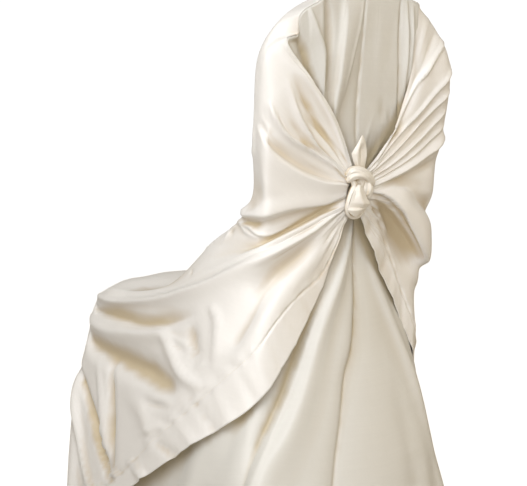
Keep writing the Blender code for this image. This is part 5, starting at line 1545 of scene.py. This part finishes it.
# A lamp stands at its place and points at its target; its size is its width and height.
Lamp = namedtuple("Lamp", "name place target size power colour")
DAY_COLOUR = (0.985, 0.99, 1.0)
WARM_COLOUR = (1.0, 0.77, 0.42)
LAMPS = [
    Lamp("key", place=(1.9, 1.8, 2.4), target=(0.0, 0.1, 0.55),
         size=(2.2, 2.2), power=73, colour=DAY_COLOUR),
    Lamp("front fill", place=(-0.9, -2.6, 0.5), target=(0.0, 0.0, 0.5),
         size=(1.6, 1.6), power=3, colour=DAY_COLOUR),
    Lamp("fill", place=(-1.7, 1.5, 0.9), target=(0.0, 0.1, 0.5),
         size=(1.6, 1.6), power=8, colour=WARM_COLOUR),
    Lamp("low fill", place=(1.7, 1.95, 0.15), target=(0.1, 0.2, 0.15),
         size=(1.0, 0.5), power=19, colour=DAY_COLOUR),
]


def add_lamp(lamp):
    """A rectangular lamp that faces its target."""
    data = bpy.data.lights.new(lamp.name, "AREA")
    data.shape = "RECTANGLE"
    data.size, data.size_y = lamp.size
    data.energy = lamp.power
    data.color = lamp.colour
    made = add_object(lamp.name, data)
    made.location = Vector(lamp.place) - Vector(ORIGIN)
    aim = Vector(lamp.target) - Vector(ORIGIN) - made.location
    made.rotation_euler = aim.to_track_quat("-Z", "Y").to_euler()


def add_wall():
    """A plain bright wall all round, which gives a softer and warmer light than it shows."""
    world = bpy.data.worlds.new("studio")
    bpy.context.scene.world = world
    world.use_nodes = True
    tree = world.node_tree
    seen = add_node(tree, "ShaderNodeLightPath").outputs["Is Camera Ray"]
    feed(tree, tree.nodes["Background"], {
        "Color": mixed(tree, seen, (*WORLD_COLOUR, 1), WHITE),
        "Strength": between(tree, seen, (WORLD_LIGHT, WORLD_SEEN)),
    })


def add_floor():
    """A floor that is seen as white as the wall."""
    corners = [(-1, -1), (1, -1), (1, 1), (-1, 1)]
    floor = bpy.data.meshes.new("floor")
    points = [(x * FLOOR_REACH, y * FLOOR_REACH, -ORIGIN[2]) for x, y in corners]
    floor.from_pydata(points, [], [(0, 1, 2, 3)])
    paper, tree, shader = add_material("white paper")
    seen = add_node(tree, "ShaderNodeLightPath").outputs["Is Camera Ray"]
    feed(tree, shader, {
        "Base Color": (*FLOOR_COLOUR, 1),
        "Roughness": FLOOR_ROUGHNESS,
        "Specular IOR Level": FLOOR_SPECULAR,
        "Emission Color": WHITE,
        "Emission Strength": maths(tree, "MULTIPLY", seen, FLOOR_SEEN),
    })
    floor.materials.append(paper)
    add_object("floor", floor)


def studio():
    """A white room, a large soft key light from the upper left, and weak fills: in front, right and low."""
    bpy.context.scene.view_settings.view_transform = "Standard"
    add_wall()
    add_floor()
    for lamp in LAMPS:
        add_lamp(lamp)


def dress():
    """Make every piece of the cover and hang it on the frame."""
    outside, back, tied = (satin(kind) for kind in (WRAP_SATIN, PANEL_SATIN_SHADED, KNOT_SATIN))
    thread = thread_finish()

    plain_wrap = plain_cloth(np.array([wrap_points(s) for s in WRAP_SECTIONS]), WRAP_STATIONS)
    rows = [arch(plain_wrap, PANEL_STATIONS), *map(panel_points, PANEL_SECTIONS)]
    edge = arch(plain_wrap, fine_columns(PANEL_STATIONS))
    plain_panel = plain_cloth(np.array(rows), PANEL_STATIONS, edge)
    wrap_form = wrap_surface(plain_wrap)
    panel_form = panel_surface(plain_panel, wrap_form)

    # The cloth against which each sheet's painted shade is measured.
    cloth = all_cloth([wrap_form.points, panel_form.points])
    wrap = sheet("cover_wrap", wrap_form.points, outside, CLOCKWISE, cloth)
    panel = sheet("cover_back_panel", panel_form.points, back, ANTICLOCKWISE, cloth)
    upper_end, lower_end = (end_surface(name).points for name in TIE_ENDS)
    # And the cloth round the knot, for the knot's painted shade.
    all_round_knot = all_cloth([wrap_form.points, panel_form.points, upper_end, lower_end])
    knot = make_knot("tied_knot", tied, all_round_knot)
    upper = sheet("tie_end_above", upper_end, tied, ANTICLOCKWISE, cloth)
    lower = sheet("tie_end_below", lower_end, tied, ANTICLOCKWISE, cloth)

    tree = stitching_tree(thread)
    hem = stitches("hem_stitches", wrap_form, HEM_SEAM, CLOCKWISE, tree)
    foot = stitches("panel_hem_stitches", panel_form, PANEL_HEM, ANTICLOCKWISE, tree)

    for piece, node in (
        (wrap, "wrap"),
        (panel, "back_panel"),
        (knot, "knot"),
        (upper, "tie_end_upper"),
        (lower, "tie_end_lower"),
    ):
        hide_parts(node)
    for piece in (wrap, panel, knot, upper, lower, hem, foot):
        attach(piece, "root")


dress()
studio()
